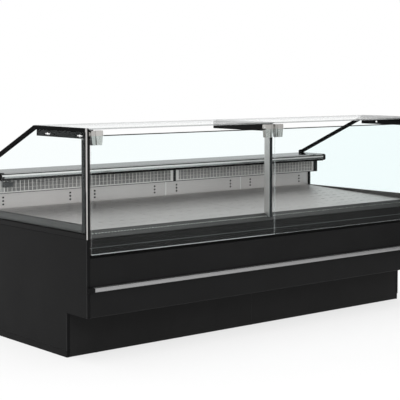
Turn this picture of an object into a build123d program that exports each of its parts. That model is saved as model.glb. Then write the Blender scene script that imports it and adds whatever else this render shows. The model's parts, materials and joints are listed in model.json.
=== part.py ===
from build123d import *
import os
from math import atan, cos, radians, sin, tan

# Refrigerated fish counter, remote cooled, with lift-up front panes.
# Millimetres. X runs along the counter, the customer stands at -Y, Z is up.
# The origin is on the floor, in the middle of the overall length and depth.

# Overall sizes
module_length = 625.0
module_count = 4
end_thickness = 20.0
body_depth = 1075.0
overall_height = 1180.0
bumper_projection = 28.0

# Base and toe recess
toe_recess = 185.0
overhang_height = 230.0
end_foot_height = 35.0
end_foot_inset = 2.0
base_clearance = 60.0
tube_width = 40.0
base_rail_height = 60.0
tube_wall = 3.0
column_end_distance = 170.0
outrigger_thickness = 6.0
foot_pad_radius = 19.0
foot_pad_height = 12.0
foot_stem_radius = 7.0
plinth_thickness = 3.0
plinth_floor_gap = 2.0
plinth_joint = 2.0

# Front cladding and bumper
sheet = 2.0
bend_radius = 4.0
cladding_depth = 20.0
cladding_joint = 1.0
side_joint = 0.5
bumper_height = 23.0
bumper_nose_radius = 8.0
bumper_cap_length = 31.0
bumper_cap_tip = 5.0
fascia_bottom = 546.0
fascia_height = 82.0
fascia_setback = 2.0
fascia_seam_height = 35.0
seam_width = 1.2
seam_depth = 0.8
shadow_gap = 16.0

# Insulated tub
tub_bottom = 372.0
tub_floor_thickness = 48.0
tub_front_thickness = 70.0
tub_rear_thickness = 38.0
tub_end_thickness = 25.0
tub_end_rise = 68.0

# Front ledge with air slots
ledge_joint = 3.0
ledge_rise = 31.0
ledge_leg_height = 40.0
ledge_slope_depth = 56.0
ledge_flat_depth = 14.0
ledge_setback = 4.0
ledge_sheet = 2.5
ledge_slot_spacing = 20.0
ledge_slot_length = 12.0
ledge_slot_width = 5.0

# Display deck
deck_thickness = 3.0
deck_step = 7.0
deck_rise = 32.0
deck_gap = 3.0
deck_back_gap = 6.0
deck_slot_length = 34.0
deck_slot_width = 6.0
deck_slot_spacing_x = 70.0
deck_slot_spacing_y = 100.0
bearer_width = 24.0
rear_rail_depth = 25.0

# Back wall, air outlet grille and worktop
back_wall_rear_distance = 85.0
back_wall_sheet = 2.0
wall_slot_edge_distance = 87.0
wall_slot_drop = 32.0
wall_slot_spacing = 19.5
wall_slot_count = 3
wall_slot_length = 10.0
wall_slot_width = 6.0
outlet_floor_sheet = 3.0
grille_rear_distance = 176.0
grille_thickness = 4.0
grille_height = 74.0
grille_top_gap = 2.0
grille_bar = 3.0
grille_spacing = 27.0
grille_rows = 3
grille_border = 5.0
middle_bracket_width = 20.0
end_bracket_width = 36.0
bracket_joint = 1.0
worktop_height = 905.0
worktop_depth = 237.0
worktop_nose_height = 42.0
worktop_lip = 22.0
worktop_rear_lip = 28.0
worktop_sheet = 3.0
worktop_nose_radius = 14.0
worktop_end_inset = 9.0
worktop_cap_length = 27.0
thermometer_length = 60.0
thermometer_height = 28.0
thermometer_depth = 14.0
thermometer_end_distance = 51.0
thermometer_rise = 33.0

# Rear cladding and electrics
rear_panel_thickness = 3.0
rear_panel_lift = 3.0
service_panel_bottom = 40.0
louvre_count = 9
louvre_length = 260.0
louvre_width = 8.0
louvre_row_spacing = 20.0
louvre_spacing = 380.0
controller_column_distance = 280.0
controls_height = 315.0
controller_width = 71.0
controller_height = 29.0
controller_body_depth = 60.0
bezel = 4.0
bezel_thickness = 3.0
cutout_clearance = 0.3
switch_column_distance = 180.0
switch_width = 22.0
switch_height = 30.0
switch_depth = 26.0
rocker_width = 14.0
rocker_height = 22.0
rocker_thickness = 5.0
rocker_clearance = 0.6
rocker_pin_radius = 1.5
rocker_pocket_depth = 9.0
terminal_box_column_distance = 380.0
terminal_box_length = 200.0
terminal_box_depth = 70.0
terminal_box_height = 100.0
terminal_box_bottom = 140.0
gland_radius = 10.0
gland_length = 22.0
gland_bore_radius = 5.0

# Evaporator, fans and drain
coil_rear_distance = 245.0
coil_tube_radius = 6.0
coil_rise = 40.0
coil_spacing = 40.0
coil_passes = 4
coil_end_distance = 185.0
coil_tail = 60.0
fin_thickness = 1.0
fin_count = 41
fin_depth = 140.0
fin_margin = 20.0
end_plate_thickness = 3.0
valve_length = 30.0
valve_radius = 15.0
valve_head_radius = 22.0
valve_head_height = 14.0
valve_stem_height = 34.0
liquid_line_radius = 6.0
liquid_line_reach = 25.0
liquid_line_bend = 20.0
suction_line_radius = 8.0
suction_line_reach = 90.0
suction_line_bend = 30.0
line_end_height = 100.0
line_stub_length = 80.0
line_stub_step = 1.0
pipe_clearance = 0.3
fan_plate_depth = 560.0
fan_spacing = 760.0
fan_opening_radius = 92.0
fan_radius = 88.0
fan_hub_radius = 24.0
fan_hub_length = 24.0
fan_blade_count = 5
fan_blade_chord = 48.0
fan_blade_twist = 28.0
fan_blade_thickness = 2.0
fan_stand_off = 3.0
fan_strap_width = 30.0
fan_strap_thickness = 3.0
fan_strap_overlap = 6.0
motor_radius = 32.0
motor_length = 42.0
shaft_radius = 4.0
shaft_clearance = 0.05
drain_x = 300.0
drain_depth = 400.0
drain_radius = 20.0
drain_wall = 2.0
drain_flange_radius = 34.0
drain_flange_thickness = 3.0
drain_end_height = 120.0
drain_spigot_length = 200.0
drain_sleeve = 1.0

# Glass superstructure
glass_thickness = 8.0
glass_clearance = 0.3
glass_outer_inset = 6.0
channel_drop = 2.0
channel_height = 24.0
channel_slot_depth = 18.0
corner_profile_width = 14.0
corner_profile_front = 2.0
corner_profile_depth = 10.0
rail_size = 20.0
rail_glass_overlap = 10.0
rail_corner_depth = 489.0
rail_tail_rise = 21.4
rail_end_clearance = 1.5
glass_notch_clearance = 5.0
end_glass_rear_distance = 92.0
end_glass_tail_distance = 19.0
end_post_width = 36.0
end_post_thickness = 16.0
bracket_height = 47.0
bracket_sheet = 4.0
bracket_flange = 30.0
bracket_bolt_depths = (62.0, 357.0)
bracket_bolt_radius = 4.0
bracket_bolt_head_radius = 8.0
bracket_bolt_head = 4.0
bracket_bolt_clearance = 0.3
top_glass_front = 4.0
top_glass_depth = 512.0
top_glass_joint = 1.5
top_glass_end_gap = 2.0
post_width = 24.0
post_depth = 42.0
post_setback = 26.0
post_clearance = 0.5
arm_width = 28.0
arm_height = 44.0

# Lift-up front panes and their hinges
pane_standoff = 2.0
pane_bottom_rise = 1.0
pane_end_inset = 25.0
pane_joint = 2.0
pivot_depth = 4.0
pivot_drop = 30.0
pin_radius = 4.0
pin_clearance = 0.05
pin_seat_clearance = 0.02
knuckle_radius = 10.0
hinge_end_distance = 31.0
hinge_middle_distance = 8.0
end_lobe_width = 26.0
middle_lobe_width = 16.0
clamp_width = 45.0
hinge_side_gap = 0.5
clamp_grip_height = 46.0
hinge_depth = 24.0
hinge_crown = 17.0
clamp_taper = 7.0
clamp_corner_radius = 4.0
lobe_gap = 1.0
lobe_taper = 8.0
hinge_block_depth = 44.0
hinge_plate_thickness = 12.0

# Places worked out from the sizes above
half_inner = module_length * module_count / 2
half_length = half_inner + end_thickness
front = -(body_depth - bumper_projection) / 2
rear = front + body_depth
plinth_front = front + toe_recess
plinth_back = plinth_front + plinth_thickness
rear_face = rear - worktop_sheet
rear_panel_front = rear_face - rear_panel_thickness
tub_front = front + cladding_depth
tub_floor_top = tub_bottom + tub_floor_thickness
tub_half = half_inner - tub_end_thickness
column_x = half_inner - column_end_distance
tub_rear_inner = rear_panel_front - tub_rear_thickness
back_wall = rear - back_wall_rear_distance
wall_back = back_wall + back_wall_sheet
bumper_middle = tub_bottom + cladding_joint / 2
bumper_end = half_length - end_foot_inset - bumper_cap_length
cladding_half = half_inner - side_joint
upper_panel_top = fascia_bottom - shadow_gap
fascia_top = fascia_bottom + fascia_height
fascia_face = front + fascia_setback
ledge_front_height = fascia_top + ledge_joint
ledge_top_height = ledge_front_height + ledge_rise
ledge_front = front + ledge_setback
ledge_knee = ledge_front + ledge_slope_depth
ledge_back = ledge_knee + ledge_flat_depth
deck_front = ledge_back + deck_gap
deck_back = back_wall - deck_back_gap
deck_seat_height = ledge_top_height - ledge_leg_height
deck_front_height = ledge_top_height - deck_step
tub_end_top = deck_seat_height + tub_end_rise
deck_module = 2 * tub_half / module_count
base_rail_top = base_clearance + base_rail_height
tub_rail_bottom = tub_bottom - tube_width
front_tube_back = plinth_back + tube_width
rear_tube_front = rear_panel_front - tube_width
worktop_nose = rear - worktop_depth
worktop_bottom = worktop_height - worktop_nose_height
worktop_underside = worktop_height - worktop_sheet
worktop_half = half_inner - worktop_end_inset
grille_front = rear - grille_rear_distance
outlet_floor_height = worktop_bottom - grille_top_gap - grille_height
outlet_floor_bottom = outlet_floor_height - outlet_floor_sheet
rear_panel_bottom = tub_bottom + rear_panel_lift
controller_x = column_x - controller_column_distance
switch_x = column_x - switch_column_distance
terminal_box_x = column_x - terminal_box_column_distance
glass_outer = half_length - glass_outer_inset
glass_inner = glass_outer - glass_thickness
channel_bottom = fascia_top - channel_drop
channel_top = channel_bottom + channel_height
channel_floor = channel_top - channel_slot_depth
profile_front = front - corner_profile_front
profile_back = profile_front + corner_profile_depth
rail_corner = front + rail_corner_depth
end_glass_rear = rear - end_glass_rear_distance
end_glass_tail = rear - end_glass_tail_distance
rail_fall = overall_height - worktop_height - rail_tail_rise
slope_angle = atan(rail_fall / (end_glass_tail - rail_corner))
glass_seat = overall_height - glass_thickness
bracket_bottom = glass_seat - bracket_height
bracket_inner = half_inner - bracket_sheet
bolt_height = bracket_bottom + bracket_height / 3
bolt_places = [(front + depth, bolt_height) for depth in bracket_bolt_depths]
top_glass_back = front + top_glass_depth
top_glass_lip = front - top_glass_front
post_front = front + post_setback
post_back = post_front + post_depth
arm_bottom = glass_seat - arm_height
pane_back = front - pane_standoff
pane_face = pane_back - glass_thickness
pane_outer = half_length - pane_end_inset
pivot_y = front + pivot_depth
pivot_height = overall_height - pivot_drop
pane_top = pivot_height - knuckle_radius
pane_bottom = fascia_bottom + pane_bottom_rise
clamp_bottom = pane_top - clamp_grip_height
end_lobe_outer = half_length - hinge_end_distance
end_lobe_inner = end_lobe_outer - end_lobe_width
end_clamp_outer = end_lobe_inner - hinge_side_gap
end_clamp_inner = end_clamp_outer - clamp_width
middle_lobe_inner = hinge_middle_distance
middle_lobe_outer = middle_lobe_inner + middle_lobe_width
middle_clamp_inner = middle_lobe_outer + hinge_side_gap
middle_clamp_outer = middle_clamp_inner + clamp_width
lobe_front = pane_back + lobe_gap
hinge_top = pivot_height + hinge_crown
fan_plate_front = front + fan_plate_depth
fan_plate_back = fan_plate_front + sheet
fan_rotor_front = fan_plate_back + fan_stand_off
fan_places = (-fan_spacing, 0.0, fan_spacing)
fan_axis_height = (tub_floor_top + deck_seat_height) / 2
coil_y = rear - coil_rear_distance
coil_bottom = tub_floor_top + coil_rise
coil_half = tub_half - coil_end_distance
coil_top = coil_bottom + coil_spacing * (coil_passes - 1)
coil_end = coil_half + coil_tail
fin_bottom = coil_bottom - fin_margin
fin_top = coil_top + fin_margin
liquid_line_x = coil_end + valve_length + liquid_line_reach
suction_line_x = coil_end + suction_line_reach
drain_y = front + drain_depth


def save(piece: Part, name: str) -> None:
    """Labels a finished piece and writes its STEP file."""
    piece.label = name
    export_step(piece, f"parts/{name}.step")


def block(x_span: tuple, y_span: tuple, z_span: tuple, mode: Mode = Mode.ADD) -> None:
    """Adds to, or cuts from, the part being built a block between two corners."""
    spans = (x_span, y_span, z_span)
    middle = tuple((low + high) / 2 for low, high in spans)
    lengths = tuple(high - low for low, high in spans)
    with Locations(middle):
        Box(*lengths, mode=mode)


def tube(x_span: tuple, y_span: tuple, z_span: tuple, axis: str) -> Part:
    """Makes a square tube whose bore runs along the named axis."""
    bore = []
    for name, (low, high) in zip("XYZ", (x_span, y_span, z_span)):
        inset = 0.0 if name == axis else tube_wall
        bore.append((low + inset, high - inset))
    with BuildPart() as member:
        block(x_span, y_span, z_span)
        block(*bore, mode=Mode.SUBTRACT)
    return member.part


def outrigger(x: float) -> Part:
    """Makes an upright plate that carries the front overhang, centred on x."""
    with BuildPart() as plate:
        with BuildSketch(Plane.YZ.offset(x - outrigger_thickness / 2)):
            with BuildLine():
                Polyline(
                    (front + sheet, overhang_height + sheet + 2 * bend_radius),
                    (front + sheet + 2 * bend_radius, overhang_height + sheet),
                    (plinth_back, overhang_height + sheet),
                    (plinth_back, tub_bottom),
                    (tub_front, tub_bottom),
                    (tub_front, tub_bottom - 2 * bend_radius),
                    (front + sheet, tub_bottom - 2 * bend_radius),
                    close=True,
                )
            make_face()
        extrude(amount=outrigger_thickness)
    return plate.part


def ledge_line(y: float) -> float:
    """Height of the ledge's sloping face."""
    return ledge_front_height + (y - ledge_front) * ledge_rise / ledge_slope_depth


def rail_line(y: float, inset: float) -> float:
    """Height of the sloping rail's line, a given distance inside its outer edge."""
    return overall_height - (y - rail_corner) * tan(slope_angle) - inset / cos(slope_angle)


def rail_knee(inset: float) -> tuple:
    """Corner where the level and sloping lines meet, a given distance inside the outer edge."""
    return (rail_corner - inset * tan(slope_angle / 2), overall_height - inset)


os.makedirs("parts", exist_ok=True)

# Base frame: rails, crossbars, columns and tub rails of square tube, with outrigger plates
columns = (-column_x, 0.0, column_x)
rail_span = (-cladding_half, cladding_half)
frame_members = []
for y_span in ((plinth_back, front_tube_back), (rear_tube_front, rear_panel_front)):
    frame_members.append(tube(rail_span, y_span, (base_clearance, base_rail_top), "X"))
    frame_members.append(tube(rail_span, y_span, (tub_rail_bottom, tub_bottom), "X"))
    for x in columns:
        column_span = (x - tube_width / 2, x + tube_width / 2)
        frame_members.append(tube(column_span, y_span, (base_rail_top, tub_rail_bottom), "Z"))
for x in columns:
    bar_span = (x - tube_width / 2, x + tube_width / 2)
    bar_height = (base_rail_top - tube_width, base_rail_top)
    frame_members.append(tube(bar_span, (front_tube_back, rear_tube_front), bar_height, "Y"))
for x in (*columns, -column_x / 2, column_x / 2):
    frame_members.append(outrigger(x))
save(Compound(children=frame_members), "base_frame")

# Levelling feet: one under each column
with BuildPart() as levelling_feet:
    foot_rows = (plinth_back + tube_width / 2, rear_panel_front - tube_width / 2)
    foot_places = [(x, y) for x in columns for y in foot_rows]
    with BuildSketch(Plane.XY):
        with Locations(*foot_places):
            Circle(foot_pad_radius)
    extrude(amount=foot_pad_height)
    fillet(levelling_feet.edges().group_by(Axis.Z)[-1], foot_pad_height / 4)
    with BuildSketch(Plane.XY.offset(foot_pad_height)):
        with Locations(*foot_places):
            Circle(foot_stem_radius)
    extrude(amount=base_clearance - foot_pad_height)
save(levelling_feet.part, "levelling_feet")

# Foot rails that close the ends between the floor and the end panels
with BuildPart() as end_feet:
    foot_span = (half_inner, half_length - end_foot_inset)
    block(foot_span, (plinth_front + end_foot_inset, rear_face), (0, end_foot_height))
    mirror(about=Plane.YZ)
save(end_feet.part, "end_feet")

# Plinth panels: the recessed kick plate in two halves
for side, name in ((-1, "plinth_left"), (1, "plinth_right")):
    with BuildPart() as plinth:
        span = sorted((side * plinth_joint / 2, side * cladding_half))
        block(span, (plinth_front, plinth_back), (plinth_floor_gap, overhang_height))
    save(plinth.part, name)

# End panels: stepped at the toe recess and raised at the rear under the worktop
for side, name in ((-1, "end_panel_left"), (1, "end_panel_right")):
    with BuildPart() as end_panel:
        with BuildSketch(Plane.YZ.offset(side * half_inner)):
            with BuildLine():
                Polyline(
                    (plinth_front, end_foot_height),
                    (plinth_front, overhang_height),
                    (front, overhang_height),
                    (front, channel_bottom),
                    (end_glass_rear + glass_clearance, channel_bottom),
                    (end_glass_rear + glass_clearance, worktop_bottom),
                    (rear_face, worktop_bottom),
                    (rear_face, end_foot_height),
                    close=True,
                )
            make_face()
        extrude(amount=side * end_thickness)
        outer_face = end_panel.faces().sort_by(Axis.X)[0 if side < 0 else -1]
        chamfer(outer_face.edges(), sheet)
    save(end_panel.part, name)

# Lower front panel: a folded sheet that turns under to close the overhang
with BuildPart() as lower_front_panel:
    with BuildSketch(Plane.YZ):
        with BuildLine():
            FilletPolyline(
                (tub_front, tub_bottom),
                (front, tub_bottom),
                (front, overhang_height),
                (plinth_back, overhang_height),
                radius=bend_radius,
            )
            offset(amount=sheet, side=Side.LEFT)
        make_face()
    extrude(amount=cladding_half, both=True)
save(lower_front_panel.part, "lower_front_panel")

# Upper front panel: a shallow folded tray between the bumper and the shadow gap
with BuildPart() as upper_front_panel:
    with BuildSketch(Plane.YZ):
        with BuildLine():
            FilletPolyline(
                (tub_front, tub_bottom + cladding_joint),
                (front, tub_bottom + cladding_joint),
                (front, upper_panel_top),
                (tub_front, upper_panel_top),
                radius=bend_radius,
            )
            offset(amount=sheet, side=Side.RIGHT)
        make_face()
    extrude(amount=cladding_half, both=True)
save(upper_front_panel.part, "upper_front_panel")

# Bumper rail: an extrusion with a rounded nose over the panel joint
with BuildPart() as bumper_rail:
    bumper_span = (bumper_middle - bumper_height / 2, bumper_middle + bumper_height / 2)
    block((-bumper_end, bumper_end), (front - bumper_projection, front), bumper_span)
    nose_edges = bumper_rail.faces().sort_by(Axis.Y)[0].edges().filter_by(Axis.X)
    fillet(nose_edges, bumper_nose_radius)
save(bumper_rail.part, "bumper_rail")

# Bumper end caps: they taper back from the rail's nose to the end panels
with BuildPart() as bumper_caps:
    with BuildSketch(Plane.XY.offset(bumper_span[0])):
        with BuildLine():
            Polyline(
                (bumper_end, front),
                (bumper_end, front - bumper_projection),
                (bumper_end + bumper_cap_length / 3, front - bumper_projection),
                (bumper_end + bumper_cap_length, front - bumper_cap_tip),
                (bumper_end + bumper_cap_length, front),
                close=True,
            )
        make_face()
    extrude(amount=bumper_height)
    cap_nose = bumper_caps.edges().filter_by(Axis.Z).group_by(Axis.Y)[0].sort_by(Axis.X)[-1]
    fillet(cap_nose, bumper_nose_radius)
    mirror(about=Plane.YZ)
save(bumper_caps.part, "bumper_caps")

# Fascia: the black folded strip behind the lower edge of the panes, with its fine seam
with BuildPart() as fascia:
    seam_bottom = fascia_bottom + fascia_seam_height
    with BuildSketch(Plane.YZ):
        with BuildLine():
            FilletPolyline(
                (tub_front, fascia_bottom),
                (fascia_face, fascia_bottom),
                (fascia_face, fascia_top),
                (tub_front, fascia_top),
                radius=bend_radius,
            )
            offset(amount=sheet, side=Side.RIGHT)
        make_face()
    extrude(amount=cladding_half, both=True)
    seam_span = (fascia_face, fascia_face + seam_depth)
    seam_ends = (-cladding_half, cladding_half)
    block(seam_ends, seam_span, (seam_bottom, seam_bottom + seam_width), mode=Mode.SUBTRACT)
save(fascia.part, "fascia")

# Tub floor: insulated slab with the drain and pipe holes
with BuildPart() as tub_floor:
    block((-tub_half, tub_half), (tub_front, rear_panel_front), (tub_bottom, tub_floor_top))
    with Locations((drain_x, drain_y, tub_floor_top)):
        Hole(drain_radius + drain_sleeve + pipe_clearance)
    with Locations((liquid_line_x, coil_y, tub_floor_top)):
        Hole(liquid_line_radius + pipe_clearance)
    with Locations((suction_line_x, coil_y, tub_floor_top)):
        Hole(suction_line_radius + pipe_clearance)
save(tub_floor.part, "tub_floor")

# Tub walls: insulated front and rear walls
with BuildPart() as tub_walls:
    wall_ends = (-tub_half, tub_half)
    front_span = (tub_front, tub_front + tub_front_thickness)
    block(wall_ends, front_span, (tub_floor_top, deck_seat_height))
    rear_span = (tub_rear_inner, rear_panel_front)
    block(wall_ends, rear_span, (tub_floor_top, deck_seat_height))
    block((-cladding_half, cladding_half), rear_span, (deck_seat_height, worktop_underside))
save(tub_walls.part, "tub_walls")

# Tub ends: insulated liners against the end panels, raised beside the display deck
with BuildPart() as tub_ends:
    with BuildSketch(Plane.YZ.offset(tub_half)):
        with BuildLine():
            Polyline(
                (tub_front, tub_bottom),
                (tub_front, deck_seat_height),
                (ledge_back + sheet, deck_seat_height),
                (ledge_back + sheet, tub_end_top),
                (back_wall - sheet, tub_end_top),
                (back_wall - sheet, deck_seat_height),
                (rear_panel_front, deck_seat_height),
                (rear_panel_front, tub_bottom),
                close=True,
            )
        make_face()
    extrude(amount=tub_end_thickness)
    mirror(about=Plane.YZ)
save(tub_ends.part, "tub_ends")

# Front ledge: sloping stainless sheet with a row of air slots and a notch for the post
with BuildPart() as front_ledge:
    with BuildSketch(Plane.YZ):
        with BuildLine():
            FilletPolyline(
                (ledge_front, ledge_front_height),
                (ledge_knee, ledge_top_height),
                (ledge_back, ledge_top_height),
                (ledge_back, deck_seat_height),
                radius=bend_radius,
            )
            offset(amount=ledge_sheet, side=Side.RIGHT)
        make_face()
    extrude(amount=cladding_half, both=True)
    slot_count = int(2 * (cladding_half - ledge_slot_spacing) / ledge_slot_spacing)
    slot_y = (ledge_front + ledge_knee) / 2
    with BuildSketch(Plane.XY.offset(deck_seat_height)):
        with Locations((0, slot_y)):
            with GridLocations(ledge_slot_spacing, ledge_slot_spacing, slot_count, 1):
                SlotOverall(ledge_slot_length, ledge_slot_width)
    extrude(amount=ledge_top_height - deck_seat_height, mode=Mode.SUBTRACT)
    notch_half = post_width / 2 + post_clearance
    notch_span = (post_front - post_clearance, post_back + post_clearance)
    notch_height = (deck_seat_height, ledge_top_height + ledge_sheet)
    block((-notch_half, notch_half), notch_span, notch_height, mode=Mode.SUBTRACT)
save(front_ledge.part, "front_ledge")

# Deck bearers: sloping bars under the deck joints, and the rail that carries them at the rear
with BuildPart() as bearers:
    edge_offset = tub_half - bearer_width / 2
    bearer_places = [-edge_offset, edge_offset]
    for joint in range(1, module_count):
        bearer_places.append(-tub_half + joint * deck_module)
    for x in bearer_places:
        with BuildSketch(Plane.YZ.offset(x - bearer_width / 2)):
            with BuildLine():
                Polyline(
                    (deck_front, deck_seat_height),
                    (deck_front, deck_front_height),
                    (deck_back, deck_front_height + deck_rise),
                    (deck_back, deck_seat_height),
                    close=True,
                )
            make_face()
        extrude(amount=bearer_width)
with BuildPart() as rear_deck_rail:
    rail_back = wall_back + sheet
    rail_heights = (deck_seat_height - rear_rail_depth, deck_seat_height)
    block((-tub_half, tub_half), (rail_back - rear_rail_depth, rail_back), rail_heights)
save(Compound(children=[bearers.part, rear_deck_rail.part]), "deck_bearers")

# Deck plates: sloping perforated plates, one to a module
for module in range(module_count):
    with BuildPart() as deck_plate:
        plate_start = -tub_half + module * deck_module + deck_gap / 2
        plate_length = deck_module - deck_gap
        with BuildSketch(Plane.YZ.offset(plate_start)):
            with BuildLine():
                Polyline(
                    (deck_front, deck_front_height),
                    (deck_front, deck_front_height + deck_thickness),
                    (deck_back, deck_front_height + deck_rise + deck_thickness),
                    (deck_back, deck_front_height + deck_rise),
                    close=True,
                )
            make_face()
        extrude(amount=plate_length)
        columns_of_slots = int((plate_length - deck_slot_spacing_x) / deck_slot_spacing_x)
        rows_of_slots = int((deck_back - deck_front - deck_slot_spacing_y) / deck_slot_spacing_y)
        with BuildSketch(Plane.XY.offset(deck_seat_height)):
            with Locations((plate_start + plate_length / 2, (deck_front + deck_back) / 2)):
                with GridLocations(
                    deck_slot_spacing_x,
                    deck_slot_spacing_y,
                    columns_of_slots,
                    rows_of_slots,
                ):
                    SlotOverall(deck_slot_length, deck_slot_width)
        extrude(amount=deck_front_height + 2 * deck_rise - deck_seat_height, mode=Mode.SUBTRACT)
    save(deck_plate.part, f"deck_plate_{module + 1}")

# Back wall panels: slotted sheets, one to a module, standing on the rear rail
with BuildPart() as wall_panels:
    panel_length = module_length - 2 * side_joint
    wall_heights = (deck_seat_height, outlet_floor_bottom)
    with BuildSketch(Plane.XZ.offset(-back_wall)):
        with Locations((0, sum(wall_heights) / 2)):
            with GridLocations(module_length, module_length, module_count, 1):
                Rectangle(panel_length, wall_heights[1] - wall_heights[0])
        slot_top = outlet_floor_height - wall_slot_drop
        slot_middle = slot_top - wall_slot_spacing * (wall_slot_count - 1) / 2
        slot_spread = module_length - 2 * wall_slot_edge_distance
        with Locations((0, slot_middle)):
            with GridLocations(module_length, module_length, module_count, 1):
                with GridLocations(slot_spread, wall_slot_spacing, 2, wall_slot_count):
                    SlotOverall(wall_slot_length, wall_slot_width, mode=Mode.SUBTRACT)
    extrude(amount=-back_wall_sheet)
save(wall_panels.part, "wall_panels")

# Outlet carrier: the duct floor and the three black brackets under the worktop
carrier_half = half_inner - bracket_joint
bracket_rise = (outlet_floor_height, worktop_underside)
bracket_spans = (
    (-carrier_half, end_bracket_width - carrier_half),
    (-middle_bracket_width / 2, middle_bracket_width / 2),
    (carrier_half - end_bracket_width, carrier_half),
)
with BuildPart() as duct_floor:
    floor_rise = (outlet_floor_bottom, outlet_floor_height)
    block((-carrier_half, carrier_half), (grille_front, wall_back), floor_rise)
with BuildPart() as duct_brackets:
    for bracket_span in bracket_spans:
        block(bracket_span, (grille_front, wall_back), bracket_rise)
save(Compound(children=[duct_floor.part, duct_brackets.part]), "outlet_carrier")

# Air outlet grilles: wire mats in two halves
for side, name in ((-1, "grille_left"), (1, "grille_right")):
    with BuildPart() as grille:
        grille_inner = middle_bracket_width / 2 + bracket_joint
        grille_outer = half_inner - bracket_joint - end_bracket_width - bracket_joint
        grille_length = grille_outer - grille_inner
        mesh_columns = int((grille_length - 2 * grille_border + grille_bar) / grille_spacing)
        mesh_row = (grille_height - 2 * grille_border + grille_bar) / grille_rows
        with BuildSketch(Plane.XZ.offset(-grille_front)):
            middle = (side * (grille_inner + grille_outer) / 2, outlet_floor_height + grille_height / 2)
            with Locations(middle):
                Rectangle(grille_length, grille_height)
                with GridLocations(grille_spacing, mesh_row, mesh_columns, grille_rows):
                    Rectangle(grille_spacing - grille_bar, mesh_row - grille_bar, mode=Mode.SUBTRACT)
        extrude(amount=-grille_thickness)
    save(grille.part, name)

# Thermometer: a small display box clipped to the left grille
with BuildPart() as thermometer:
    box_start = thermometer_end_distance - half_length
    box_span = (box_start, box_start + thermometer_length)
    box_bottom = outlet_floor_height + thermometer_rise
    box_rise = (box_bottom, box_bottom + thermometer_height)
    block(box_span, (grille_front - thermometer_depth, grille_front), box_rise)
    fillet(thermometer.faces().sort_by(Axis.Y)[0].edges(), sheet)
    screen_face = grille_front - thermometer_depth
    screen_span = (box_span[0] + bezel, box_span[1] - bezel)
    screen_rise = (box_rise[0] + bezel, box_rise[1] - bezel)
    block(screen_span, (screen_face, screen_face + seam_depth), screen_rise, mode=Mode.SUBTRACT)
save(thermometer.part, "thermometer")


def worktop_fold(start_x: float, length: float) -> Part:
    """Makes a length of the folded sheet with its rounded nose and rear lip."""
    with BuildPart() as fold:
        with BuildSketch(Plane.YZ.offset(start_x)):
            with BuildLine():
                FilletPolyline(
                    (worktop_nose + worktop_lip, worktop_bottom),
                    (worktop_nose, worktop_bottom),
                    (worktop_nose, worktop_height),
                    (rear, worktop_height),
                    (rear, worktop_height - worktop_rear_lip),
                    radius=[worktop_nose_radius, worktop_nose_radius, bend_radius],
                )
                offset(amount=worktop_sheet, side=Side.RIGHT)
            make_face()
        extrude(amount=length)
    return fold.part


# Worktop: folded stainless sheet with a rounded nose
save(worktop_fold(-worktop_half, 2 * worktop_half), "worktop")

# Worktop end caps: black mouldings that carry the fold on and close its ends over the end panels
with BuildPart() as worktop_caps:
    with BuildSketch(Plane.YZ.offset(half_inner)):
        with Locations(((worktop_nose + rear) / 2, (worktop_bottom + worktop_height) / 2)):
            Rectangle(worktop_depth, worktop_nose_height)
    extrude(amount=worktop_cap_length - worktop_end_inset)
    cap_edges = worktop_caps.edges().filter_by(Axis.X).group_by(Axis.Y)[0]
    fillet(cap_edges, worktop_nose_radius)
    add(worktop_fold(worktop_half, worktop_end_inset))
    mirror(about=Plane.YZ)
save(worktop_caps.part, "worktop_caps")

# Rear panel: closes the back of the insulated tub under the worktop
with BuildPart() as rear_panel:
    panel_ends = (-cladding_half, cladding_half)
    block(panel_ends, (rear_panel_front, rear_face), (rear_panel_bottom, worktop_underside - bend_radius))
save(rear_panel.part, "rear_panel")

# Service panels: two louvred covers under the tub, one with the cut-outs for the controls
with BuildPart() as service_panels:
    panel_top = rear_panel_bottom - cladding_joint
    panel_middle = (service_panel_bottom + panel_top) / 2
    half_panel = cladding_half - plinth_joint / 2
    panel_x = plinth_joint / 2 + half_panel / 2
    with BuildSketch(Plane.XZ.offset(-rear_panel_front)):
        with Locations((-panel_x, panel_middle), (panel_x, panel_middle)):
            Rectangle(half_panel, panel_top - service_panel_bottom)
            with GridLocations(louvre_spacing, louvre_row_spacing, 2, louvre_count):
                SlotOverall(louvre_length, louvre_width, mode=Mode.SUBTRACT)
        gap = 2 * cutout_clearance
        with Locations((controller_x, controls_height)):
            Rectangle(controller_width + gap, controller_height + gap, mode=Mode.SUBTRACT)
        with Locations((switch_x, controls_height)):
            Rectangle(switch_width + gap, switch_height + gap, mode=Mode.SUBTRACT)
    extrude(amount=-rear_panel_thickness)
save(service_panels.part, "service_panels")

# Controller: a panel-mounted thermostat with a framed window
with BuildPart() as controller:
    body_front = rear_face - controller_body_depth
    with BuildSketch(Plane.XZ.offset(-body_front)):
        with Locations((controller_x, controls_height)):
            Rectangle(controller_width, controller_height)
    extrude(amount=-controller_body_depth)
    with BuildSketch(Plane.XZ.offset(-rear_face)):
        with Locations((controller_x, controls_height)):
            Rectangle(controller_width + 2 * bezel, controller_height + 2 * bezel)
    extrude(amount=-bezel_thickness)
    fillet(controller.faces().sort_by(Axis.Y)[-1].edges(), bezel_thickness / 3)
    with BuildSketch(Plane.XZ.offset(-rear_face - bezel_thickness)):
        with Locations((controller_x, controls_height)):
            Rectangle(controller_width - bezel, controller_height - bezel)
    extrude(amount=seam_depth, mode=Mode.SUBTRACT)
save(controller.part, "controller")

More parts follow.
